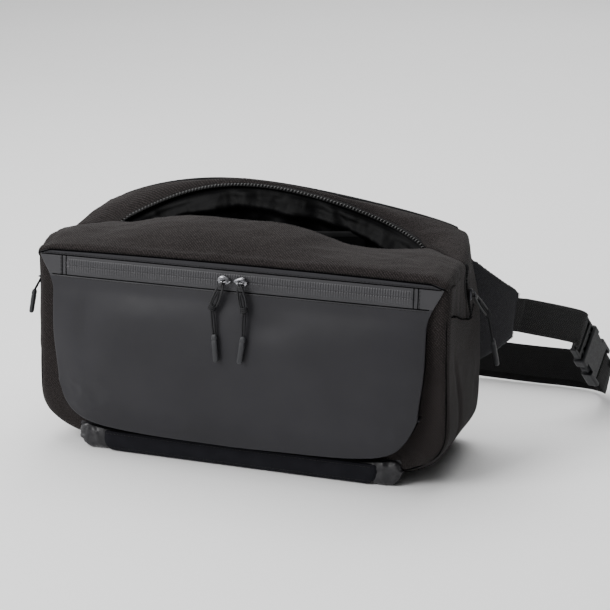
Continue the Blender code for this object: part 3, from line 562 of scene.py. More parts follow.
def along_path(path, spacing):
    """Places at even spacing along a polyline, each with its direction."""
    lengths = [(b - a).length for a, b in zip(path, path[1:])]
    found, index, passed = [], 0, 0.0
    for k in range(max(1, int(sum(lengths) / spacing)) + 1):
        wanted = k * spacing
        while index < len(lengths) - 1 and passed + lengths[index] < wanted:
            passed += lengths[index]
            index += 1
        if lengths[index] < 1e-9:
            continue
        share = min(1.0, (wanted - passed) / lengths[index])
        a, b = path[index], path[index + 1]
        found.append((a.lerp(b, share), (b - a).normalized()))
    return found


LAY_REACH = 0.02


def laid_on(piece, path, outward):
    """Move a path along a direction onto the surface of a piece."""
    tree = BVHTree.FromObject(piece, bpy.context.evaluated_depsgraph_get())
    to_local = piece.matrix_world.inverted()
    out = Vector(outward).normalized()
    placed = []
    for point in map(Vector, path):
        hit = tree.ray_cast(to_local @ (point + out * LAY_REACH), to_local.to_3x3() @ -out,
                            3 * LAY_REACH)[0]
        placed.append(piece.matrix_world @ hit if hit is not None else point)
    return placed


STITCH_LENGTH = 0.0024
STITCH_GAP = 0.0008
THREAD_RADIUS = 0.00021
STITCH_SHAPE = ((-1, -1.1), (-0.7, 0.2), (0, 0.45), (0.7, 0.2), (1, -1.1))


def stitches(name, paths, lift=0.00012):
    """Rows of single stitches, each a short thread that dips into the cloth at both ends."""
    data = bmesh.new()
    for path, outward in paths:
        out = Vector(outward).normalized()
        for place, direction in along_path(path, STITCH_LENGTH + STITCH_GAP):
            ends = [place + direction * (STITCH_LENGTH / 2 * along) + out * (lift + THREAD_RADIUS * high)
                    for along, high in STITCH_SHAPE]
            tube_into(data, ends, THREAD_RADIUS, section=5)
    new_piece(name, data, THREAD, "bag", "webbing")


# ---------------------------------------------------------------- surfaces shared with the model

def front_edge(x):
    return FRONT_HEIGHT - 0.002 * (x / HALF_WIDTH) ** 2 - 0.003 * smooth_step((abs(x) - 0.160) / 0.012)


def back_top(x):
    arch = max(0.0, 1 - (x / 0.170) ** 2) ** 0.75
    return 0.178 + 0.0335 * arch - 0.0045 * math.sin(math.pi * x / HALF_WIDTH)


def mouth_ratio(x):
    return min(1.0, abs(x) / MOUTH_HALF)


def seam_y(x):
    return 0.020 - 0.020 * smooth_step((abs(x) - MOUTH_HALF) / 0.035)


def end_height(x):
    return MOUTH_END_Z - 0.004 * smooth_step((abs(x) - MOUTH_HALF) / 0.035)


def front_lip(x):
    open_part = (1 - mouth_ratio(x) ** 2) ** 0.8
    reach = abs(x + 0.008) / (0.072 if x > -0.008 else 0.096)
    z = end_height(x) + 0.0185 * math.exp(-reach ** 4)
    return Vector((x, seam_y(x) - 0.0005 - 0.030 * open_part, z))


def back_lip(x):
    ratio = mouth_ratio(x)
    skew = 0.004 * math.sin(math.pi * x / MOUTH_HALF) if ratio < 1 else 0.0
    return Vector((x, seam_y(x) + 0.0005 + 0.027 * (1 - ratio ** 4),
                   end_height(x) + 0.0345 * (1 - ratio ** 2) - skew))


def pocket_half(z):
    widening = (POCKET_HALF_MID - POCKET_HALF_LOW) * smooth_step((z - 0.055) / 0.050)
    flare = (POCKET_HALF_TOP - POCKET_HALF_MID) * smooth_step((z - 0.130) / 0.042) ** 1.4
    return POCKET_HALF_LOW + widening + flare


def pocket_bulge(x, z):
    down = smooth_step((ZIP_TOP - z) / 0.075)
    hem = 0.0032 * smooth_step((0.044 - z) / 0.024)
    return 0.0024 + (0.014 - hem) * down * (1 - (abs(x) / 0.175) ** 6)


def pocket_lowest(x):
    inside = POCKET_HALF_LOW - min(abs(x), POCKET_HALF_LOW)
    return POCKET_BOTTOM + 0.032 * math.exp(-inside / 0.0115) + 0.008 * math.exp(-inside / 0.075)


def depth_share(y):
    """0 at the body's front and 1 at its back."""
    return max(0.0, min(1.0, (y - FRONT_Y) / (BACK_Y - FRONT_Y)))


def side_taper(y, z):
    """How far the sides lean in towards the top of the back."""
    return SIDE_TAPER * max(0.0, z - TAPER_FROM) * depth_share(y) ** 3


def outline_point(s, inset=0.0, fullness=0.0):
    """Point and outward direction on the body's outline, s in metres from the upper left, down,
    round the bottom and up to the upper right. The lower corners are tighter towards the back,
    where fullness is 1."""
    wide, tall = CORNER_WIDTH - CORNER_TIGHTER * fullness, CORNER_HEIGHT - CORNER_TIGHTER * fullness
    straight = SKIN_TOP - tall
    bottom = 2 * (HALF_WIDTH - wide)
    corner = (OUTLINE_LENGTH - 2 * straight - bottom) / 2
    mirror = s > OUTLINE_LENGTH / 2
    s = min(s, OUTLINE_LENGTH - s)
    if s < straight:
        x, z, out = -HALF_WIDTH, SKIN_TOP - s, Vector((-1, 0, 0))
    elif s < straight + corner:
        angle = (s - straight) / corner * math.pi / 2
        x = -(HALF_WIDTH - wide) - wide * math.cos(angle)
        z = tall - tall * math.sin(angle)
        out = Vector((-math.cos(angle) / wide, 0, -math.sin(angle) / tall)).normalized()
    else:
        x, z, out = -(HALF_WIDTH - wide) + (s - straight - corner), 0.0, Vector((0, 0, -1))
    if mirror:
        x, out.x = -x, -out.x
    return Vector((x - out.x * inset, 0, z - out.z * inset)), out


# ---------------------------------------------------------------- camera, light and floor

FOCAL_SHARE = 1603.7 / 610
CAMERA_AIM = Vector((0.0391, 0, 0.1238))
CAMERA_DISTANCE = 1.336


def make_stage():
    turn, rise, roll = (math.radians(angle) for angle in (17.69, 16.2, 0.62))
    back = Vector((math.sin(turn) * math.cos(rise), -math.cos(turn) * math.cos(rise), math.sin(rise)))
    right = back.cross(Vector((0, 0, -1))).normalized()
    up = back.cross(right)
    tilted = right * math.cos(roll) + up * math.sin(roll)
    upright = up * math.cos(roll) - right * math.sin(roll)
    camera_data = bpy.data.cameras.new("camera")
    camera_data.sensor_width = 36.0
    camera_data.lens = FOCAL_SHARE * camera_data.sensor_width
    camera = bpy.data.objects.new("camera", camera_data)
    matrix = Matrix((tilted, upright, back)).transposed().to_4x4()
    matrix.translation = CAMERA_AIM + back * CAMERA_DISTANCE
    camera.matrix_world = matrix
    bpy.context.collection.objects.link(camera)
    bpy.context.scene.camera = camera

    world = bpy.data.worlds.new("studio")
    world.use_nodes = True
    background = world.node_tree.nodes["Background"]
    background.inputs["Color"].default_value = (1.0, 1.0, 1.0, 1.0)
    direction = world.node_tree.nodes.new("ShaderNodeTexCoord")
    parts = world.node_tree.nodes.new("ShaderNodeSeparateXYZ")
    strength = world.node_tree.nodes.new("ShaderNodeMapRange")
    for socket, value in (("From Min", -1.0), ("From Max", 0.5), ("To Min", 1.5), ("To Max", 0.04)):
        strength.inputs[socket].default_value = value
    world.node_tree.links.new(direction.outputs["Generated"], parts.inputs["Vector"])
    world.node_tree.links.new(parts.outputs["X"], strength.inputs["Value"])
    world.node_tree.links.new(strength.outputs["Result"], background.inputs["Strength"])
    bpy.context.scene.world = world

    for name, place, target, size, power in (
            ("key_light", (-1.2, -1.5, 1.5), (0, 0, 0.08), 1.3, 46.0),
            ("top_light", (-0.3, 0.4, 2.0), (0, 0, 0.1), 1.6, 30.0),
            ("floor_light", (0.0, 3.0, 2.6), (0, 2.0, 0.0), 3.0, 60.0)):
        light_data = bpy.data.lights.new(name, "AREA")
        light_data.energy = power
        light_data.size = size
        light = bpy.data.objects.new(name, light_data)
        light.location = place
        facing = Vector(target) - Vector(place)
        light.rotation_euler = facing.to_track_quat("-Z", "Y").to_euler()
        bpy.context.collection.objects.link(light)

    data = bmesh.new()
    bmesh.ops.create_grid(data, x_segments=8, y_segments=8, size=60.0)
    mesh = bpy.data.meshes.new("floor")
    data.to_mesh(mesh)
    data.free()
    floor = bpy.data.objects.new("floor", mesh)
    floor.location = (0, 0, -0.0008)
    paint = Nodes("pale_floor", (0.93, 0.93, 0.93), 0.9, specular=0.2)
    shade = paint.noise(paint.coordinates(False), 3.0, 2.0)
    paint.colour(paint.mix(shade, (0.92, 0.92, 0.92), (0.94, 0.94, 0.94)))
    mesh.materials.append(paint.material)
    bpy.context.collection.objects.link(floor)


# ---------------------------------------------------------------- body

EDGE_ROUND = 0.0065
FRONT_INSET = 0.036
FRONT_LIFT = 0.0095
BACK_ROUND = 0.004
SIDE_DEPTH = BACK_Y - 0.0032 - FRONT_Y - EDGE_ROUND - BACK_ROUND
COATED_HALF = 0.139


def body_skin_point(s, t):
    """Skin of the front border, its rounded edge and the side, t in metres from the inner border back."""
    flat = FRONT_INSET - EDGE_ROUND
    arc = math.pi / 2 * EDGE_ROUND
    if t < flat:
        inset, y = FRONT_INSET - t, FRONT_Y
    elif t < flat + arc:
        angle = (t - flat) / EDGE_ROUND
        inset = EDGE_ROUND * (1 - math.sin(angle))
        y = FRONT_Y + EDGE_ROUND * (1 - math.cos(angle))
    elif t < flat + arc + SIDE_DEPTH:
        inset, y = 0.0, FRONT_Y + EDGE_ROUND + (t - flat - arc)
    else:
        angle = min(math.pi / 2, (t - flat - arc - SIDE_DEPTH) / BACK_ROUND)
        inset = BACK_ROUND * (1 - math.cos(angle))
        y = FRONT_Y + EDGE_ROUND + SIDE_DEPTH + BACK_ROUND * math.sin(angle)
    place, out = outline_point(s, inset, depth_share(y))
    bulge = 0.0024 * bell(place.z, 0.055, 0.045) * abs(out.x) * smooth_step((t - 0.012) / 0.02)
    place.x += (bulge - side_taper(y, place.z)) * math.copysign(1, place.x)
    low_front = (1 - smooth_step(place.z / 0.04)) * (1 - smooth_step((y - FRONT_Y) / 0.035))
    place.z += FRONT_LIFT * low_front
    place.y = y
    return place


def make_body_skin():
    total = FRONT_INSET - EDGE_ROUND + math.pi / 2 * (EDGE_ROUND + BACK_ROUND) + SIDE_DEPTH

    def surface(u, v):
        return body_skin_point(u * OUTLINE_LENGTH, v * total)

    def shift(_u, _v, point):
        """Soft waves all over, one slanted fold on each side and small creases at the low corners."""
        x, y, z = point
        soft = 0.0011 * wave(x * 22, y * 22, z * 22, 1) * smooth_step(z / 0.030)
        side = smooth_step((abs(x) - 0.160) / 0.010)
        fold = bell(y, -0.034 + 0.30 * (0.10 - z), 0.0045) * smooth_step((0.120 - z) / 0.04)
        crease = -0.0022 * side * fold
        crease += 0.0009 * side * crumple(y * 11, z * 13, 4) * smooth_step((z - 0.02) / 0.03)
        corner = bell(abs(x), 0.150, 0.022) * bell(z, 0.026, 0.018)
        crease += 0.0014 * corner * crumple(x * 40, z * 40 + y * 20, 8)
        base = smooth_step((0.020 - z) / 0.012) * smooth_step((0.142 - abs(x)) / 0.01)
        return -(soft + crease * (1 - base))

    points = grid_points(surface, spaced(230), spaced(66), shift)

    def material_at(i, j):
        place = points[i][j]
        return 1 if place.z < 0.022 and abs(place.x) < COATED_HALF else 0

    made = new_piece("body_skin", grid_mesh(points, flip=True, material_at=material_at),
                     [TWILL, COATED_BASE], "bag", "twill",
                     ["side_panel_left", "side_panel_right", "front_wall", "base_panel"])
    thick(made, 0.0012)
    # A near-black line along the rounded front edge: the dark seam there, with painted shade of the
    # crease.
    edge_t = FRONT_INSET - EDGE_ROUND + math.pi / 4 * EDGE_ROUND
    line = [body_skin_point(OUTLINE_LENGTH * k / 200, edge_t) for k in range(1, 200)]
    tubes("front_edge_seam_and_shade", [(line, 0.00055)], GAP, "twill")


SHOULDER_FRONT = 0.1702
SHOULDER_NARROWER = 0.0122
SHOULDER_ROUND = 0.0056
TOP_SHARE = 0.82
FRONT_END_IN = 0.0017
FRONT_END_BACK = 0.0068
HEM_ROUND = 0.0055
LIP_ROWS = slice(26, 205)


def tongue_low(y):
    """Lower seam of the top panels' ends, on the side of the bag."""
    front_rise = 0.0190 * smooth_step((0.0158 - y) / 0.078) ** 1.15
    back_rise = 0.0052 * smooth_step((y - 0.0158) / 0.016)
    return 0.1237 + front_rise + back_rise


def over_shoulder(surface):
    """Carry a top surface over the shoulders and down the sides to the tongue's seam."""
    def wrapped(u, v):
        side = 2 * u - 1
        reach = abs(side)
        sign = math.copysign(1, side)
        back = depth_share(surface(sign * SHOULDER_FRONT, v).y) ** 2
        shoulder = SHOULDER_FRONT - SHOULDER_NARROWER * back
        if reach <= TOP_SHARE:
            return surface(shoulder * side / TOP_SHARE, v)
        edge = surface(sign * shoulder, v)
        tall = SHOULDER_ROUND + 0.0070 * back
        skin = HALF_WIDTH + 0.0009
        wide = skin - side_taper(edge.y, edge.z - tall) - shoulder
        arc = (wide + tall) / 2 * math.pi / 2
        drop = max(0.004, edge.z - tall - tongue_low(edge.y))
        along = (reach - TOP_SHARE) / (1 - TOP_SHARE) * (arc + drop)
        at_front = smooth_step((-0.044 - edge.y) / 0.019) * smooth_step(along / (arc + 0.004))
        if along < arc:
            angle = along / arc * math.pi / 2
            wide -= FRONT_END_IN * at_front
            return edge + Vector((sign * wide * math.sin(angle), FRONT_END_BACK * at_front,
                                  -tall * (1 - math.cos(angle))))
        z = edge.z - tall - (along - arc)
        skin -= FRONT_END_IN * at_front
        return Vector((sign * (skin - side_taper(edge.y, z)), edge.y + FRONT_END_BACK * at_front, z))
    return wrapped


def make_top():
    def front_surface(x, v):
        start = Vector((x, FRONT_Y - 0.0006, front_edge(x) - 0.0004))
        if v < 0.12:
            angle = v / 0.12 * math.pi / 2
            return start + Vector((0, HEM_ROUND * (1 - math.cos(angle)) - 0.0012,
                                   HEM_ROUND * math.sin(angle)))
        share = (v - 0.12) / 0.88
        first = start + Vector((0, 0.0043, 0.0055))
        crown = Vector((0, 0, 0.0048 * math.sin(math.pi * share) ** 0.8))
        return first.lerp(front_lip(x), share) + crown

    def front_shift(_u, v, point):
        fade = smooth_step(v / 0.10) * smooth_step((1 - v) / 0.06)
        soft = 0.0018 * wave(point.x * 14, point.y * 26, point.z * 14, 2)
        dent = -0.0020 * bell(point.x, 0.098, 0.030) * bell(v, 0.55, 0.25)
        dent -= 0.0016 * bell(point.x, -0.120, 0.020) * bell(v, 0.5, 0.3)
        small = 0.0007 * crumple(point.x * 30, point.y * 60, 5)
        return (soft + dent + small) * fade

    made, points = cloth("top_front_skin", over_shoulder(front_surface), (230, 44), front_shift,
                         TWILL, "twill", ["top_front_panel"])
    thick(made, 0.0010)
    lip = [row[-1] + Vector((0, -0.0030, 0.0)) for row in points[LIP_ROWS]]
    stitches("front_lip_stitching", [(laid_on(made, lip, (0, -0.4, 1)), (0, -0.4, 1))])

    def back_surface(x, v):
        if v < 0.86:
            share = v / 0.86
            end = Vector((x, 0.0545, back_top(x) + 0.0006))
            crown = Vector((0, 0, 0.0028 * math.sin(math.pi * share)))
            return back_lip(x).lerp(end, share) + crown
        angle = (v - 0.86) / 0.14 * math.pi / 2
        return Vector((x, 0.0545 + HEM_ROUND * math.sin(angle),
                       back_top(x) + 0.0006 - HEM_ROUND * (1 - math.cos(angle))))

    def back_shift(_u, v, point):
        fade = smooth_step(v / 0.10) * smooth_step((1 - v) / 0.10)
        soft = 0.0015 * wave(point.x * 16, point.y * 24, 3, 6)
        return (soft + 0.0006 * crumple(point.x * 28, point.y * 50, 9)) * fade

    made, points = cloth("top_back_skin", over_shoulder(back_surface), (230, 30), back_shift,
                         TWILL, "twill", ["top_back_panel"])
    thick(made, 0.0010)
    lip = [row[0] + Vector((0, 0.0036, 0.0)) for row in points[LIP_ROWS]]
    stitches("back_lip_stitching", [(laid_on(made, lip, (0, -0.6, 1)), (0, -0.6, 1))])


# ---------------------------------------------------------------- pocket

POCKET_RIM = 5
AHEAD = (0, -1, 0)


def denser_ends(count):
    """Shares from 0 to 1, closer together towards both ends."""
    return [0.5 - 0.5 * math.cos(math.pi * share) for share in spaced(count)]


def tucked(point, share):
    """Roll a border point of the pocket back to the front wall."""
    depth = point.y - (FRONT_Y - 0.0002)
    return Vector((point.x, point.y - depth * (1 - math.cos(share * math.pi / 2)), point.z))


def pocket_rows():
    """Heights of the pocket's rows as shares, with closer ones across the zip."""
    zip_rows = spaced(60, ZIP_LOW - 0.003, ZIP_LOW + 0.019)
    low, high = pocket_lowest(0), front_edge(0) - 0.0006
    rows = [v for v in spaced(84) if not zip_rows[0] < low + (high - low) * v < zip_rows[-1]]
    rows += [(z - low) / (high - low) for z in zip_rows]
    return sorted(v for v in rows if 0 <= v <= 1)


def make_pocket():
    us = [0.55 * u + 0.45 * even for u, even in zip(denser_ends(150), spaced(150))]

    def surface(u, v):
        side = 2 * u - 1
        guess = pocket_lowest(side * POCKET_HALF_LOW) * (1 - v) + (front_edge(side * 0.17) - 0.0006) * v
        x = side * (pocket_half(guess) - 0.001)
        return Vector((x, FRONT_Y - pocket_bulge(x, guess), guess))

    def shift(_u, _v, point):
        x, z = point.x, point.z
        soft = 0.0016 * wave(x * 9, z * 11, 0, 3) + 0.0006 * wave(x * 28, z * 24, 0, 5)
        below = smooth_step((ZIP_LOW - z) / 0.03)
        sag = -0.0012 * bell(z, 0.142, 0.006) * (1 + 0.8 * wave(x * 16, 1.0, 0, 11))
        pull = -0.0022 * bell(x, 0.030, 0.020) * bell(z, 0.128, 0.016)
        pull += 0.0014 * bell(x, -0.075, 0.03) * bell(z, 0.125, 0.02)
        left = -0.0012 * bell(x, -0.128, 0.010) * bell(z, 0.120, 0.030)
        groove = sum(-0.0006 * bell(z, seam, 0.0009) for seam in (ZIP_TOP, ZIP_LOW))
        low_left = bell(x, -0.135, 0.026) * bell(z, 0.046, 0.022)
        low_right = bell(x, 0.132, 0.020) * bell(z, 0.040, 0.018)
        groove += 0.0016 * (low_left + 0.7 * low_right) * crumple(x * 24 + z * 12, z * 30 - x * 10, 37)
        strip = -0.0004 * smooth_step((z - ZIP_LOW) / 0.001) * smooth_step((ZIP_TOP - z) / 0.001)
        coil = 0.0
        if ZIP_LOW + 0.003 < z < ZIP_TOP - 0.003 and abs(x) < ZIP_HALF - 0.004:
            coil = 0.0008 * bell(z, ZIP_MIDDLE, 0.0044) - 0.0007 * bell(z, ZIP_MIDDLE, 0.0005)
        return (soft + sag + pull + left) * below + groove + strip + coil

    framed = []
    for row in grid_points(surface, us, pocket_rows(), shift):
        head = []
        for share in spaced(POCKET_RIM)[:0:-1]:
            place = tucked(row[0], share)
            place.z += 0.0015 * share - 0.00088 * math.sin(share * math.pi)
            head.append(place)
        framed.append(head + row)
    for sign, edge in ((-1, framed[0]), (1, framed[-1])):
        extra = []
        for share in spaced(POCKET_RIM)[1:]:
            out = Vector((sign * (0.0008 * math.sin(share * math.pi) - 0.0012 * share), 0, 0))
            extra.append([tucked(point, share) + out for point in edge])
        framed = extra[::-1] + framed if sign < 0 else framed + extra

    def material_at(i, j):
        return 1 if ZIP_LOW < framed[i][j].z < ZIP_TOP else 0

    made = new_piece("front_pocket_skin", grid_mesh(framed, material_at=material_at),
                     [COATED, COATED_ZIP], "bag", "coated",
                     ["front_pocket_panel", "front_pocket_top_strip", "front_pocket_gusset",
                      "front_zip_tape", "front_zip_end_left", "front_zip_end_right"])
    thick(made, 0.0009)

    def level(z, half):
        line = [(x, FRONT_Y - pocket_bulge(x, z), z) for x in spaced(120, -half, half)]
        return laid_on(made, line, AHEAD)

    def upright(x, short):
        line = [(x, FRONT_Y - pocket_bulge(x, z), z)
                for z in spaced(16, ZIP_LOW + short, ZIP_TOP - short)]
        return laid_on(made, line, AHEAD)

    rows = [level(ZIP_TOP + 0.0014, 0.164), level(ZIP_LOW - 0.0014, 0.157)]
    rows += [upright(x, 0.001) for x in (-ZIP_HALF - 0.0012, ZIP_HALF + 0.0012)]
    stitches("pocket_stitching", [(row, AHEAD) for row in rows])

    # Near-black cords in the seam grooves, round the pocket's border and along its top fold: painted
    # shade in the grooves and in the gaps at the pocket's edge.
    lines = [level(ZIP_TOP, 0.169), level(ZIP_LOW, 0.160)]
    lines += [upright(side * x, 0.0) for side in (-1, 1) for x in (ZIP_HALF, ZIP_HALF - 0.0036)]
    cords = [([p + Vector(AHEAD) * 0.0001 for p in line], 0.00042) for line in lines]
    border = framed[0][:0:-1] + [row[0] for row in framed] + framed[-1][1:]
    cords.append(([Vector((p.x, FRONT_Y - 0.0008, p.z)) for p in border[::3]], 0.0011))
    fold = spaced(150, -0.1715, 0.1715)
    cords.append(([Vector((x, FRONT_Y - 0.0023, front_edge(x) - 0.0009)) for x in fold], 0.0007))
    tubes("pocket_seam_cords", cords, GAP, "zip_tape")


# ---------------------------------------------------------------- base

def rounded_block(x_low, x_high, z_low, z_high, depth, round_low, round_high, back, square):
    """Front of a padded bumper with a full bulge and rounded ends."""
    def rounding(size, near):
        return size * (1 - math.sqrt(max(0.0, 1 - (1 - min(1.0, near / size)) ** 2)))

    def surface(u, v):
        x = x_low + (x_high - x_low) * u
        near = min(x - x_low, x_high - x)
        low, high = z_low + rounding(round_low, near), z_high - rounding(round_high, near)
        angle = v * math.pi
        z = low + (high - low) * (1 - math.cos(angle)) / 2
        end = math.sqrt(max(0.0, 1 - max(0.0, 1 - near / 0.006) ** 2))
        return Vector((x, back - depth * math.sin(angle) ** square * (0.04 + 0.96 * end), z))
    return surface


def make_base():
    def crinkle(_u, v, point):
        ends = smooth_step((abs(point.x) - 0.110) / 0.010)
        folds = crumple(point.x * 60 + point.z * 45, point.z * 80 - point.x * 30, 13)
        return 0.0019 * ends * folds * math.sin(math.pi * v) ** 0.5

    guard = rounded_block(-0.1392, 0.1415, 0.0004, 0.0212, 0.0048, 0.0110, 0.0075,
                          FRONT_Y + 0.0004, 0.55)
    points = grid_points(guard, denser_ends(190), spaced(18), crinkle)
    new_piece("base_guard_skin", grid_mesh(points), COATED_BASE, "bag", "coated", ["base_front_guard"])

    band = rounded_block(-0.1160, 0.1220, 0.0004, 0.0172, 0.0020, 0.0090, 0.0035,
                         FRONT_Y - 0.0040, 0.35)
    points = grid_points(band, denser_ends(190), spaced(14))
    new_piece("base_band_skin", grid_mesh(points), BAND, "bag", "band", ["base_band"])
    # A near-black cord along the band's top edge: painted shadow under the pocket's overhang.
    shadow = [Vector((x, FRONT_Y - 0.0052, 0.0178 + 0.4 * (pocket_lowest(x) - POCKET_BOTTOM)))
              for x in spaced(120, -0.1300, 0.1300)]
    tubes("base_top_shadow_cord", [(shadow, lambda share: 0.0019 * min(1.0, 0.15 + 12 * min(share, 1 - share)))],
          GAP, "band", section=8)
    rows = [[Vector((x, FRONT_Y - 0.0058, z)) for x in spaced(60, -0.112, 0.116)]
            for z in (0.0030, 0.0150)]
    stitches("base_stitching", [(row, AHEAD) for row in rows])


# ---------------------------------------------------------------- inside

def lining_low(x):
    """Lower edge of the lining's walls, rounded to stay inside the body's corners."""
    return 0.012 + 0.050 * max(0.0, (abs(x) - 0.122) / 0.046) ** 2


def make_lining():
    def back(u, v):
        x = -0.168 + 0.336 * u
        lip = back_lip(x) if abs(x) < MOUTH_HALF else Vector((x, 0.046, 0.170))
        top = Vector((x, lip.y + 0.0006, lip.z - 0.002))
        point = top.lerp(Vector((x * 0.98, 0.0500, lining_low(x))), v)
        point.y = top.y + (0.0515 - top.y) * smooth_step(v / 0.35)
        return point

    def back_shift(_u, v, point):
        x, z = point.x, point.z
        hang = smooth_step(v / 0.03) * smooth_step((1 - v) / 0.1)
        folds = 0.0075 * (0.5 + 0.5 * crumple(x * 17 + z * 9, z * 13, 21, 2)) ** 2
        swing = 3.0 * wave(x * 16, z * 16, 0, 3)
        drape = 0.0070 * (0.5 + 0.5 * math.sin(x * 88 + swing)) ** 2 * bell(v, 0.13, 0.12)
        roll = 0.0050 * bell(v, 0.075, 0.022) * (1 + 0.5 * wave(x * 24, 0, 0, 17))
        gathers = 0.0030 * crumple(x * 46 + z * 22, z * 34, 41) * bell(v, 0.12, 0.12)
        return -(folds + drape + roll + gathers) * hang

    made, _ = cloth("lining_back", back, (220, 110), back_shift, LINING, "lining", ["main_lining"],
                    flip=True)
    thick(made, 0.0004, 1.0)

    def front(u, v):
        x = -0.168 + 0.336 * u
        lip = front_lip(x)
        top = Vector((x, lip.y + 0.0002, lip.z - 0.0025))
        mid = Vector((x, -0.0560, 0.166))
        low = Vector((x * 0.98, -0.0565, lining_low(x)))
        if v < 0.3:
            dip = Vector((0, 0, 0.002 * math.sin(math.pi * v / 0.3)))
            return top.lerp(mid, v / 0.3) - dip
        return mid.lerp(low, (v - 0.3) / 0.7)

    def front_shift(_u, v, point):
        return 0.0016 * crumple(point.x * 15, point.z * 12, 25) * smooth_step(v / 0.05)

    made, _ = cloth("lining_front", front, (110, 60), front_shift, LINING, "lining")
    thick(made, 0.0004)

    def floor(u, v):
        x = -0.1695 + 0.339 * u
        edge = smooth_step((abs(x) - 0.120) / 0.0495)
        return Vector((x, -0.0565 + 0.108 * v, 0.0085 + 0.150 * edge ** 2.2))

    def floor_shift(_u, _v, point):
        return 0.0014 * crumple(point.x * 13, point.y * 15, 29)

    made, _ = cloth("lining_floor", floor, (110, 36), floor_shift, LINING, "lining")
    thick(made, 0.0004)

    def slip(u, v):
        x = -0.095 + 0.175 * u
        sag = 0.004 * math.sin(math.pi * u) * v ** 2
        return Vector((x, 0.0396 - 0.0035 * math.sin(math.pi * u) * v, 0.020 + 0.158 * v - sag))

    def slip_shift(_u, _v, point):
        return 0.0016 * crumple(point.x * 18, point.z * 10, 33)

    made, points = cloth("inner_pocket_skin", slip, (90, 50), slip_shift, LINING, "lining",
                         ["inner_pocket_panel"])
    thick(made, 0.0005)
    path = [row[-1] + Vector((0, 0, 0.0005)) for row in points[::2]]
    ribbon("inner_binding", path, [Vector((0, 0, 1))] * len(path), 0.0060, 0.0016, WEB_BINDING,
           "bag", ["inner_pocket_binding"], segments=4)


# ---------------------------------------------------------------- back

def make_back():
    def outline_half(z):
        tall, wide = CORNER_HEIGHT - CORNER_TIGHTER, CORNER_WIDTH - CORNER_TIGHTER
        share = max(0.0, tall - z) / tall
        round_off = wide * (1 - math.sqrt(max(0.0, 1 - share ** 2)))
        return HALF_WIDTH - 0.0035 - round_off - side_taper(BACK_Y, z)

    def panel(u, v):
        side = 2 * u - 1
        top = back_top(side * BACK_TOP_HALF) - 0.0008
        z = 0.0030 + (top - 0.0030) * v
        return Vector((side * outline_half(z), BACK_Y - 0.0036, z))

    def pads(_u, _v, point):
        """Foam swelling between the sewn channels, towards the back."""
        x, z = point.x, point.z
        edge = min(smooth_step((outline_half(z) - 0.0025 - abs(x)) / 0.014),
                   smooth_step((z - 0.006) / 0.014),
                   smooth_step((back_top(x) - 0.006 - z) / 0.016))
        channel = 1 - 0.75 * bell(x, 0.0, 0.006) - 0.75 * bell(abs(x), 0.098, 0.0055)
        cross = 1 - 0.7 * bell(z, 0.098 + 0.10 * abs(x), 0.0055)
        swell = 0.0068 * edge * max(0.0, channel) * max(0.0, cross)
        return -swell - 0.0002 + 0.0004 * wave(x * 30, z * 30)

    made, _ = cloth("back_pad", panel, (160, 96), pads, MESH, "spacer_mesh",
                    ["back_panel", "back_foam"], flip=True)
    thick(made, 0.0020, 1.0)

    path = []
    for s in spaced(99, 0.0, OUTLINE_LENGTH):
        place, _ = outline_point(s, 0.0022, 1.0)
        x = place.x - math.copysign(side_taper(BACK_Y, place.z), place.x)
        path.append(Vector((x, BACK_Y - 0.0022, place.z)))
    path += [Vector((x, BACK_Y - 0.0022, back_top(x) - 0.0006))
             for x in spaced(60, BACK_TOP_HALF, -BACK_TOP_HALF)[1:-1]]
    tubes("back_piping", [(path, 0.0019)], WEB_BINDING, "webbing", section=8, closed=True)


# ---------------------------------------------------------------- main zip

TRACK_DIRECTION = Vector((0, 0.5145, -0.8575))
TRACK_ACROSS = Vector((0, 0.8575, 0.5145))
TRACK_CENTRE = Vector((0, 0.004, 0.146))
TRACK_X = HALF_WIDTH + 0.0012
ON_SIDE = 0.170
COIL_PITCH = 0.0030
COIL_TURN = ((0.0006, 0.0004), (0.0017, 0.0010), (0.0030, 0.0008), (0.0033, 0.0001))


def track_point(sign, along, across=0.0, out=0.0):
    point = TRACK_CENTRE + TRACK_DIRECTION * along + TRACK_ACROSS * across
    return Vector((sign * (TRACK_X + out), point.y, point.z))


def tape_path(lip, sign):
    """Up the right side's track, along the mouth's lip and down the left side's track."""
    inset = Vector((0, 0.0024, -0.0032)) if sign < 0 else Vector((0, -0.0012, 0.0002))
    middle = []
    for x in spaced(120, 0.164, -0.164):
        sunk = Vector((0, 0, -0.0026)) * smooth_step((abs(x) - 0.128) / 0.010)
        middle.append(lip(x) + sunk + inset)
    right = [track_point(1, along, sign * 0.0028, -0.0012) for along in (0.026, 0.014, 0.002, -0.012)]
    right.append(Vector((TRACK_X - 0.0026, seam_y(TOP_HALF) + sign * 0.0028, 0.1680)))
    right = catmull([*right, middle[0]], 6)[:-1]
    return right + middle + [mirrored(p, -1) for p in right[::-1]]


def tape_across(point, sign):
    """The tape's width direction at a point of its path."""
    if abs(point.x) > ON_SIDE:
        return TRACK_ACROSS.copy()
    if sign > 0:
        return Vector((0, 0.80, 0.30))
    return Vector((0, 0.35, -0.94)).lerp(Vector((0, 1, 0)), mouth_ratio(point.x) ** 8)


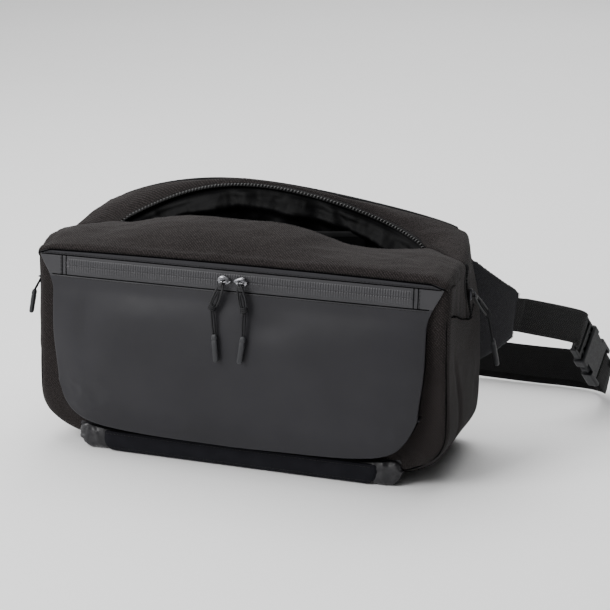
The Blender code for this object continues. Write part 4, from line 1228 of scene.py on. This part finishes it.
def make_coils(name, path, sign):
    """One half of the coil, open along the mouth; on the sides, where the flaps close over it, the coil
    takes the dark tape colour as painted shade.
    """
    open_coil, side_coil_painted_shade = bmesh.new(), bmesh.new()
    inner = Vector((0, 0.95, -0.3)) if sign < 0 else Vector((0, -0.95, -0.15))
    for place, direction in along_path(path, COIL_PITCH):
        on_side = abs(place.x) > ON_SIDE
        if MOUTH_HALF < abs(place.x) and not on_side:
            continue
        lean = TRACK_ACROSS * -sign if on_side else inner
        lean = (lean - direction * lean.dot(direction)).normalized()
        up = direction.cross(lean)
        if on_side:
            up = Vector((math.copysign(1, place.x), 0, 0))
        elif up.z < 0:
            up = -up
        ends = [place + lean * a + up * b for a, b in COIL_TURN]
        tube_into(side_coil_painted_shade if on_side else open_coil, ends, 0.00066, section=6)
    new_piece(name + "_coil", open_coil, COIL, "bag", "zip_tape")
    # The side coil gets the dark tape cloth: painted shade of the covered track.
    new_piece(name + "_side_coil_painted_shade", side_coil_painted_shade, TAPE, "bag", "zip_tape")


def make_main_zip():
    for half, lip, sign in (("front", front_lip, -1), ("back", back_lip, 1)):
        name = f"main_zip_tape_{half}"
        path = tape_path(lip, sign)
        ribbon(name, path, [tape_across(point, sign) for point in path], 0.0064, 0.0007, TAPE, "bag",
               [f"main_zip_{half}_tape"], segments=3, slot="zip_tape")
        make_coils(name, path, sign)

    skins = (bpy.data.objects["top_front_skin"], bpy.data.objects["top_back_skin"])
    ranges = ((-0.054, seam_y(TOP_HALF) - 0.002), (seam_y(TOP_HALF) + 0.002, 0.050))
    for side, name in ((-1, "left"), (1, "right")):
        outward = (side, 0, 0)
        rows = []
        for lift in (0.0016, 0.0046):
            for skin, (low_y, high_y) in zip(skins, ranges):
                border = [(side * 0.178, y, tongue_low(y) + lift) for y in spaced(30, low_y, high_y)]
                rows.append((laid_on(skin, border, outward), outward))
        stitches(f"zip_end_stitching_{name}", rows)
        # A near-black line along each tongue's lower seam: the seam line, with painted shade under the
        # tongue's edge.
        seam = [(side * 0.178, y, tongue_low(y) + 0.0004) for y in spaced(40, -0.056, 0.032)]
        parts = zip(skins, (seam[:32], seam[31:]))
        lines = [(laid_on(skin, part, outward), 0.0007) for skin, part in parts]
        tubes(f"tongue_seam_and_shade_{name}", lines, GAP, "zip_tape")


# ---------------------------------------------------------------- sliders and pulls

def lathe_slab(data, outline, low, high, matrix, dome=0.0, levels=4):
    """A pill-edged slab of a flat outline, domed on its upper face."""
    centre_x = sum(x for x, _ in outline) / len(outline)
    centre_y = sum(y for _, y in outline) / len(outline)
    tall = high - low
    shape = [(0.90, low), (1.0, low + tall * 0.25), (1.0, low + tall * 0.70)]
    for angle in spaced(levels, 0.0, math.pi / 2)[1:]:
        shape.append((1 - 0.92 * (1 - math.cos(angle)),
                      low + tall * 0.70 + (tall * 0.30 + dome) * math.sin(angle)))
    bridge(data, [[data.verts.new(matrix @ Vector((centre_x + (x - centre_x) * size,
                                                   centre_y + (y - centre_y) * size, z)))
                   for x, y in outline] for size, z in shape])


SLIDER_LENGTH = 0.0116
SLIDER_WIDTH = 0.0094
SLIDER_NOSE = 0.62
BRIDGE_FOOT = 0.0010


def slider_outline():
    """Flat outline of a slider, wide behind and narrower at its nose."""
    points = []
    for c, s in circle(40):
        width = SLIDER_NOSE + (1 - SLIDER_NOSE) * smooth_step(0.5 - 0.5 * c)
        points.append((SLIDER_LENGTH / 2 * c, SLIDER_WIDTH / 2 * s * width * 1.06))
    return points


def make_slider(body, place, material):
    data = bmesh.new()
    lathe_slab(data, slider_outline(), 0.0, 0.0017, place, dome=0.0010)
    arch = [place @ Vector((0.0039 * math.cos(angle), 0, BRIDGE_FOOT + 0.0038 * math.sin(angle)))
            for angle in spaced(12, 0.0, math.pi)]
    tube_into(data, arch, 0.00062)
    rounded_piece(f"{body}_body", data, material, body, "gunmetal", [body])


TIP_PROFILE = [(-0.0004, 0.55), (0.0, 0.72), (0.0008, 0.90), (0.0020, 1.0), (0.0036, 1.0),
               (0.0040, 0.90), (0.0046, 0.90), (0.0050, 1.0), (0.0080, 1.0), (0.0120, 0.97)]
TIP_END = [(0.0030, 0.95), (0.0012, 0.90), (0.0004, 0.72), (0.0, 0.40)]


def make_tip(prefix, body, cord_end, tip_end, facing):
    """Ribbed moulded end of a pull cord."""
    axis = tip_end - cord_end
    place = frame_at(cord_end, axis, facing.cross(axis))
    profile = TIP_PROFILE + [(axis.length - back, share) for back, share in TIP_END]
    data = bmesh.new()
    rings = []
    for along, share in profile:
        ring = []
        for c, s in circle(20):
            box = share / (abs(c) ** 4 + abs(s) ** 4) ** 0.25
            ring.append(data.verts.new(place @ Vector((along, 0.0024 * c * box, 0.0018 * s * box))))
        rings.append(ring)
    bridge(data, rings)
    rounded_piece(f"{prefix}_tip", data, RUBBER, body, "pull_rubber", [f"{prefix}_pull_tip"])


def make_pull(kind, side, crown, route, facing, hang):
    """Wire-loop tab, knotted doubled cord and ribbed tip along the three ends of the route."""
    prefix, tab_body, cord_body = f"{kind}_{side}", f"{kind}_tab_{side}", f"{kind}_cord_{side}"
    tab_end, cord_end, tip_end = (Vector(p) for p in route)
    run = (tab_end - crown).normalized()
    length = (tab_end - crown).length
    width = run.cross(facing).normalized()
    data = bmesh.new()
    loop = []
    for c, s in circle(28):
        along = hang + (length - hang) / 2 * (1 + c)
        half = 0.0029 + 0.0005 * c
        loop.append(crown + run * along + width * half * math.copysign(abs(s) ** 0.55, s))
    tube_into(data, loop, 0.00088, closed=True)
    plate = [(hang + 0.0002, 0.0016), (hang + 0.0032, 0.0024), (hang + 0.0044, 0.0024)]
    plate += [(x, -y) for x, y in plate[::-1]]
    place = frame_at(crown, run, facing.cross(run))
    lathe_slab(data, plate, -0.0006, 0.0006, place, dome=0.0002, levels=3)
    ring = [crown + run * (0.0004 + 0.0018 * c) + facing * 0.0018 * s for c, s in circle(16)]
    tube_into(data, ring, 0.00048, section=7, closed=True)
    rounded_piece(f"{prefix}_tab", data, WIRE, tab_body, "gunmetal", [f"{prefix}_pull_tab"])

    data = bmesh.new()
    knot = tab_end - run * 0.0006
    for k in (-1, 0, 1):
        turn = [knot + run * (0.0014 * k) + width * 0.0025 * c + facing * 0.0016 * s
                for c, s in circle(14)]
        tube_into(data, turn, 0.00095, closed=True)
    down = (cord_end - tab_end).normalized()
    across = down.cross(facing).normalized()
    for sign in (-1, 1):
        strand = []
        for share in spaced(12):
            bow = sign * (0.00072 + 0.00025 * math.sin(math.pi * share))
            strand.append(tab_end.lerp(cord_end, share) + across * bow + facing * 0.0002 * sign)
        tube_into(data, strand, 0.00082)
    rounded_piece(f"{prefix}_cord", data, CORD, cord_body, "webbing", [f"{prefix}_pull_cord"])

    data = bmesh.new()
    loop_top = tab_end - run * (length - hang) * 0.72
    for sign in (-1, 1):
        strand = []
        for share in spaced(8):
            reach = 0.0013 * math.sin(math.pi * (0.15 + 0.85 * share))
            strand.append(knot.lerp(loop_top, share) + width * sign * reach + facing * 0.0006)
        tube_into(data, strand, 0.00080, section=7)
    rounded_piece(f"{prefix}_cord_loop", data, CORD, tab_body, "webbing")
    make_tip(prefix, cord_body, cord_end, tip_end, facing)


FRONT_PULLS = {
    "left": (-0.0073, ((-0.0150, -0.0745, 0.1362), (-0.0118, -0.0785, 0.1155),
                       (-0.0090, -0.0820, 0.0938))),
    "right": (0.0063, ((0.0122, -0.0745, 0.1366), (0.0128, -0.0785, 0.1160),
                       (0.0108, -0.0820, 0.0945))),
}
MAIN_PULLS = {
    "left": (-1, -0.014, ((-0.1904, -0.0112, 0.1411), (-0.2003, -0.0200, 0.1195),
                          (-0.2042, -0.0205, 0.0985))),
    "right": (1, 0.0, ((0.1893, 0.0215, 0.1250), (0.1940, 0.0223, 0.1036),
                       (0.1990, 0.0225, 0.0815))),
}


def make_pulls():
    for side, (x, route) in FRONT_PULLS.items():
        nose = Vector((1 if x < 0 else -1, 0, 0))
        out = Vector(AHEAD)
        place = frame_at(Vector((x, FRONT_Y - 0.0042, 0.1577)), nose, out.cross(nose))
        make_slider(f"front_slider_{side}", place, GUNMETAL)
        make_pull("front", side, place @ Vector((0, 0, 0.0045)), route, out, 0.0016)
    for side, (sign, along, route) in MAIN_PULLS.items():
        nose, out = -TRACK_DIRECTION, Vector((sign, 0, 0))
        place = frame_at(track_point(sign, along, 0.0, 0.0009), nose, out.cross(nose))
        make_slider(f"main_slider_{side}", place, DARK_METAL)
        make_pull("main", side, place @ Vector((0, 0, 0.0033)), route, out, 0.0022)


# ---------------------------------------------------------------- belt

WING_END = Vector((0.200, 0.100, 0.103))
WING_END_ACROSS = Vector((0.12, 0.04, 0.99)).normalized()
WING_END_HEIGHT = 0.042
WING_ROOT_LOW = Vector((0.1725, 0.0650, 0.068))
WING_ROOT_HIGH = Vector((0.1655, 0.0650, 0.160))
WING_TUCK = 0.13
WING_VOXEL = 0.0022
WING_PRESSURE = 4.0
SWELL_LIMIT = 0.0022
SWELL_FRAMES = 20
WEBBING_WIDTH = 0.030
WEBBING = 0.0013
BUCKLE_ORIGIN = Vector((0.2482, 0.140, 0.0805))
BUCKLE_AXIS = Vector((0.252, 0.656, -0.713)).normalized()
BUCKLE_ACROSS = Vector((0.157, 0.700, 0.700))
STRAP_OFFSET = 0.0029
MALE_BAR = 0.0038
FEMALE_BAR = 0.0570
FEMALE_END = 0.0610
TAIL_SHIFT = 0.008
TAIL_POINTS = 7
BELT_STEPS = 9
LAYER_GAP = 0.0016
TURNED_BACK = 22
BAR_TACK = 14
BELT_BACK_Y = 0.2257
BELT_CENTRE_Z = 0.0153
KEEPER_CENTRE_Z = 0.0166
BELT_ROUTE = [
    ((0.2668, 0.1886, 0.0278), (0.157, 0.700, 0.700)),
    ((0.2672, 0.2030, 0.0212), (0.100, 0.420, 0.900)),
    ((0.2600, 0.2172, 0.0172), (0.030, 0.150, 0.980)),
    ((0.2470, 0.2240, 0.0156), (0.0, 0.030, 1.0)),
    ((0.2280, BELT_BACK_Y, BELT_CENTRE_Z), (0.0, 0.0, 1.0)),
    ((0.1900, BELT_BACK_Y, BELT_CENTRE_Z), (0.0, 0.0, 1.0)),
    ((0.1200, BELT_BACK_Y, KEEPER_CENTRE_Z), (0.0, 0.0, 1.0)),
    ((0.0500, BELT_BACK_Y, KEEPER_CENTRE_Z), (0.0, 0.0, 1.0)),
    ((-0.0300, BELT_BACK_Y, BELT_CENTRE_Z), (0.0, 0.0, 1.0)),
    ((-0.1100, BELT_BACK_Y, BELT_CENTRE_Z), (0.0, 0.0, 1.0)),
    ((-0.1700, BELT_BACK_Y, BELT_CENTRE_Z), (0.0, 0.0, 1.0)),
    ((-0.1920, 0.2225, BELT_CENTRE_Z), (0.0, 0.0, 1.0)),
    ((-0.2060, 0.2100, 0.0175), (-0.03, -0.15, 0.98)),
    ((-0.2125, 0.1900, 0.0270), (-0.02, 0.20, 0.97)),
    ((-0.2130, 0.1660, 0.0460), (0.0, 0.35, 0.93)),
    ((-0.2100, 0.1430, 0.0680), (-0.05, 0.30, 0.95)),
    ((-0.2055, 0.1200, 0.0880), (-0.10, 0.12, 0.98)),
]


def applied(made):
    """The piece's mesh with its modifiers applied and removed."""
    depsgraph = bpy.context.evaluated_depsgraph_get()
    mesh = bpy.data.meshes.new_from_object(made.evaluated_get(depsgraph))
    made.modifiers.clear()
    return mesh


def inflate(made):
    """Swell a padded piece with the cloth solver, then keep every point within a limit."""
    remesh = made.modifiers.new("Remesh", "REMESH")
    remesh.mode = "VOXEL"
    remesh.voxel_size = WING_VOXEL
    made.data = applied(made)
    rest = [v.co.copy() for v in made.data.vertices]
    cloth_modifier = made.modifiers.new("Cloth", "CLOTH")
    settings = cloth_modifier.settings
    settings.use_pressure = True
    settings.uniform_pressure_force = WING_PRESSURE
    settings.effector_weights.gravity = 0.0
    settings.quality = 6
    settings.tension_stiffness = 25
    settings.compression_stiffness = 25
    settings.bending_stiffness = 0.6
    cloth_modifier.point_cache.frame_start = 1
    cloth_modifier.point_cache.frame_end = SWELL_FRAMES
    scene = bpy.context.scene
    for number in range(1, SWELL_FRAMES + 1):
        scene.frame_set(number)
    swollen = applied(made)
    for vertex, start in zip(swollen.vertices, rest):
        move = vertex.co - start
        if move.length > SWELL_LIMIT:
            vertex.co = start + move.normalized() * SWELL_LIMIT
    made.data = swollen
    swollen.shade_smooth()
    scene.frame_set(1)
    smooth = made.modifiers.new("Smooth", "SUBSURF")
    smooth.levels = smooth.render_levels = 1


def wing_slab(middle, sign):
    """Closed pillow mesh round the wing's middle surface, thin at its border."""
    last_u, last_v = len(middle) - 1, len(middle[0]) - 1
    data = bmesh.new()
    front, back = [], []
    for i, row in enumerate(middle):
        front.append([])
        back.append([])
        for j, point in enumerate(row):
            along = middle[min(i + 1, last_u)][j] - middle[max(i - 1, 0)][j]
            across = row[min(j + 1, last_v)] - row[max(j - 1, 0)]
            normal = along.cross(across).normalized() * sign
            u, v = i / last_u, j / last_v
            edge = min(1.0, min(u + 0.25, 1 - u, v, 1 - v) / 0.14)
            full = 0.0006 + 0.0016 * math.sqrt(max(0.0, 1 - (1 - edge) ** 2))
            centre = point - normal * 0.0025
            front[i].append(data.verts.new(centre + normal * full))
            back[i].append(data.verts.new(centre - normal * full))
    for i in range(last_u):
        for j in range(last_v):
            data.faces.new((front[i][j], front[i + 1][j], front[i + 1][j + 1], front[i][j + 1]))
            data.faces.new((back[i][j + 1], back[i + 1][j + 1], back[i + 1][j], back[i][j]))
    border = [(i, 0) for i in range(last_u)] + [(last_u, j) for j in range(last_v)]
    border += [(i, last_v) for i in range(last_u, 0, -1)] + [(0, j) for j in range(last_v, 0, -1)]
    for (i, j), (k, m) in zip(border, border[1:] + border[:1]):
        data.faces.new((front[i][j], back[i][j], back[k][m], front[k][m]))
    return data


def make_wings():
    low = WING_END - WING_END_ACROSS * WING_END_HEIGHT / 2
    high = WING_END + WING_END_ACROSS * WING_END_HEIGHT / 2
    for side, sign in (("left", -1), ("right", 1)):
        def surface(u, v, sign=sign):
            end = low.lerp(high, v)
            root = WING_ROOT_LOW.lerp(WING_ROOT_HIGH, v)
            root += (root - end) * WING_TUCK
            bow = Vector((0.0035, -0.0030, 0)) * math.sin(math.pi * u)
            return mirrored(root.lerp(end, u) + bow, sign)

        data = wing_slab(grid_points(surface, spaced(26), spaced(30)), sign)
        made = rounded_piece(f"wing_{side}", data, TWILL_WING, "bag", "twill", [f"hip_wing_{side}"])
        inflate(made)

        rows = [[surface(u, v) for v in spaced(12, 0.06, 0.94)] for u in (0.93, 0.965)]
        rows += [[surface(u, v) for u in spaced(16, 0.0, 0.95)] for v in (0.07, 0.93)]
        stitches(f"wing_stitching_{side}", [(row, (sign, -0.6, 0.1)) for row in rows], lift=0.0002)


def buckle_place():
    """The buckle's frame, and the direction across the webbing in it."""
    place = frame_at(BUCKLE_ORIGIN, BUCKLE_AXIS, BUCKLE_ACROSS)
    return place, place.to_3x3() @ Vector((0, 1, 0))


def half_turn(place, bar, depth, layer):
    """Webbing round a bar of the buckle, from one face of it to the other."""
    return [place @ Vector((bar + depth * math.sin(angle), 0, layer * math.cos(angle)))
            for angle in spaced(12, 0.0, math.pi)]


def make_right_webbing():
    place, across_end = buckle_place()
    out = place.to_3x3() @ Vector((0, 0, 1))
    lead = place.to_3x3() @ Vector((1, 0, 0))
    leave = (WING_END - (WING_ROOT_LOW + WING_ROOT_HIGH) / 2).normalized()
    inward = leave.cross(WING_END_ACROSS).normalized()
    if inward.y < 0:
        inward = -inward
    start = WING_END - leave * 0.008 + inward * 0.0025
    wrap = half_turn(place, MALE_BAR - 0.0012, STRAP_OFFSET * 0.9114, STRAP_OFFSET)
    forward = catmull([start, start + leave * 0.012, WING_END + leave * 0.014 + inward * 0.001,
                       wrap[0] - lead * 0.014, wrap[0] - lead * 0.004, wrap[0]], 10)
    count = len(forward) - 1
    path = forward[:-1] + wrap
    turn = [WING_END_ACROSS.lerp(across_end, smooth_step(step / count)) for step in range(count)]
    across = turn + [across_end] * len(wrap)
    for step in range(2, 2 + TURNED_BACK):
        index = count - step
        path.append(forward[index] - out * (2 * STRAP_OFFSET * (1 - 0.74 * smooth_step(step / 12))))
        across.append(turn[index])
    ribbon("webbing_right_strap", path, across, WEBBING_WIDTH, WEBBING, WEB, "bag",
           ["webbing_right"], segments=8)

    centre, side = forward[count - BAR_TACK], turn[count - BAR_TACK].normalized()
    ahead = (forward[count - BAR_TACK + 1] - centre).normalized()
    normal = ahead.cross(side)
    if normal.dot(out) < 0:
        normal = -normal
    rows = []
    for offset in (0.0, 0.0035):
        middle = centre + ahead * offset + normal * 0.0008
        rows.append(([middle - side * 0.0135, middle + side * 0.0135], normal))
    stitches("webbing_right_stitching", rows)


def make_left_webbing():
    place, across_end = buckle_place()
    wrap = half_turn(place, FEMALE_BAR + 0.0008, -STRAP_OFFSET * 0.93, -STRAP_OFFSET)
    wrap.insert(0, place @ Vector((FEMALE_END + 0.004, 0, -STRAP_OFFSET)))
    wrap.append(place @ Vector((FEMALE_END + 0.004, 0, STRAP_OFFSET)))
    places = [Vector(point) for point, _ in BELT_ROUTE]
    widths = [Vector(width).normalized() for _, width in BELT_ROUTE]
    wing_end = mirrored(WING_END, -1)
    leave = (wing_end - mirrored((WING_ROOT_LOW + WING_ROOT_HIGH) / 2, -1)).normalized()
    inward = Vector((0.45, 0.89, 0.0))
    places += [wing_end + leave * 0.006 + inward * 0.0020, wing_end - leave * 0.008 + inward * 0.0025]
    widths += [mirrored(WING_END_ACROSS, -1)] * 2
    centre = catmull(places, BELT_STEPS)
    width = [w.normalized() for w in catmull(widths, BELT_STEPS)]
    last = len(centre) - 1

    def offset(index, distance, rise):
        tangent = (centre[min(index + 1, last)] - centre[max(index - 1, 0)]).normalized()
        side = (width[index] - tangent * width[index].dot(tangent)).normalized()
        return centre[index] + tangent.cross(side) * distance + side * rise

    def near_buckle(index):
        return 1 - smooth_step(index / (4 * BELT_STEPS))

    def layer(index):
        return LAYER_GAP + (STRAP_OFFSET - LAYER_GAP) * near_buckle(index)

    tail = [offset(index, -layer(index), TAIL_SHIFT * (1 - near_buckle(index)))
            for index in range(TAIL_POINTS * BELT_STEPS, -1, -1)]
    main_run = [offset(index, layer(index) * (1 - smooth_step((index - last + 20) / 18)), 0.0)
                for index in range(last + 1)]
    path = tail + wrap + main_run
    across = width[len(tail) - 1::-1] + [across_end] * len(wrap) + width
    made = ribbon("webbing_left_strap", path, across, WEBBING_WIDTH, WEBBING, WEB_DARK_AND_SHADED, None,
                  ["webbing_left"], segments=8)
    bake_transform(made)


def make_keeper():
    low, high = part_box("webbing_keeper")
    middle = (low + high) / 2
    half_y, half_z = (high.y - low.y) / 2 + 0.0001, (high.z - low.z) / 2
    path = []
    for c, s in circle(40):
        size = 1 / (abs(c) ** 8 + abs(s) ** 8) ** 0.125
        path.append(Vector((middle.x, middle.y + half_y * c * size, middle.z + half_z * s * size)))
    path.append(path[0].copy())
    ribbon("keeper_loop", path, [Vector((1, 0, 0))] * len(path), high.x - low.x, 0.0009,
           WEB_BINDING, "keeper", ["webbing_keeper"], segments=4)


def make_buckle():
    for node in ("buckle_male", "buckle_female", "latch_prong_upper", "latch_prong_lower"):
        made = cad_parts[node]
        made.data.materials.clear()
        made.data.materials.append(PLASTIC)
        modifier = made.modifiers.new("Edges", "BEVEL")
        modifier.width = 0.0003
        modifier.segments = 2
        modifier.limit_method = "ANGLE"
        modifier.angle_limit = math.radians(40)
    place, _ = buckle_place()
    for side, prong in ((1, "upper"), (-1, "lower")):
        data = bmesh.new()
        for along in spaced(4, 0.0292, 0.0372):
            ends = [place @ Vector((along, side * 0.0183, z)) for z in (-0.0022, 0.0, 0.0022)]
            tube_into(data, ends, 0.00055, section=6)
        new_piece(f"latch_grips_{prong}", data, PLASTIC, f"prong_{prong}", "buckle_plastic")


for make in (make_stage, make_body_skin, make_top, make_pocket, make_base, make_lining, make_back,
             make_main_zip, make_pulls, make_wings, make_right_webbing, make_left_webbing,
             make_keeper, make_buckle):
    make()
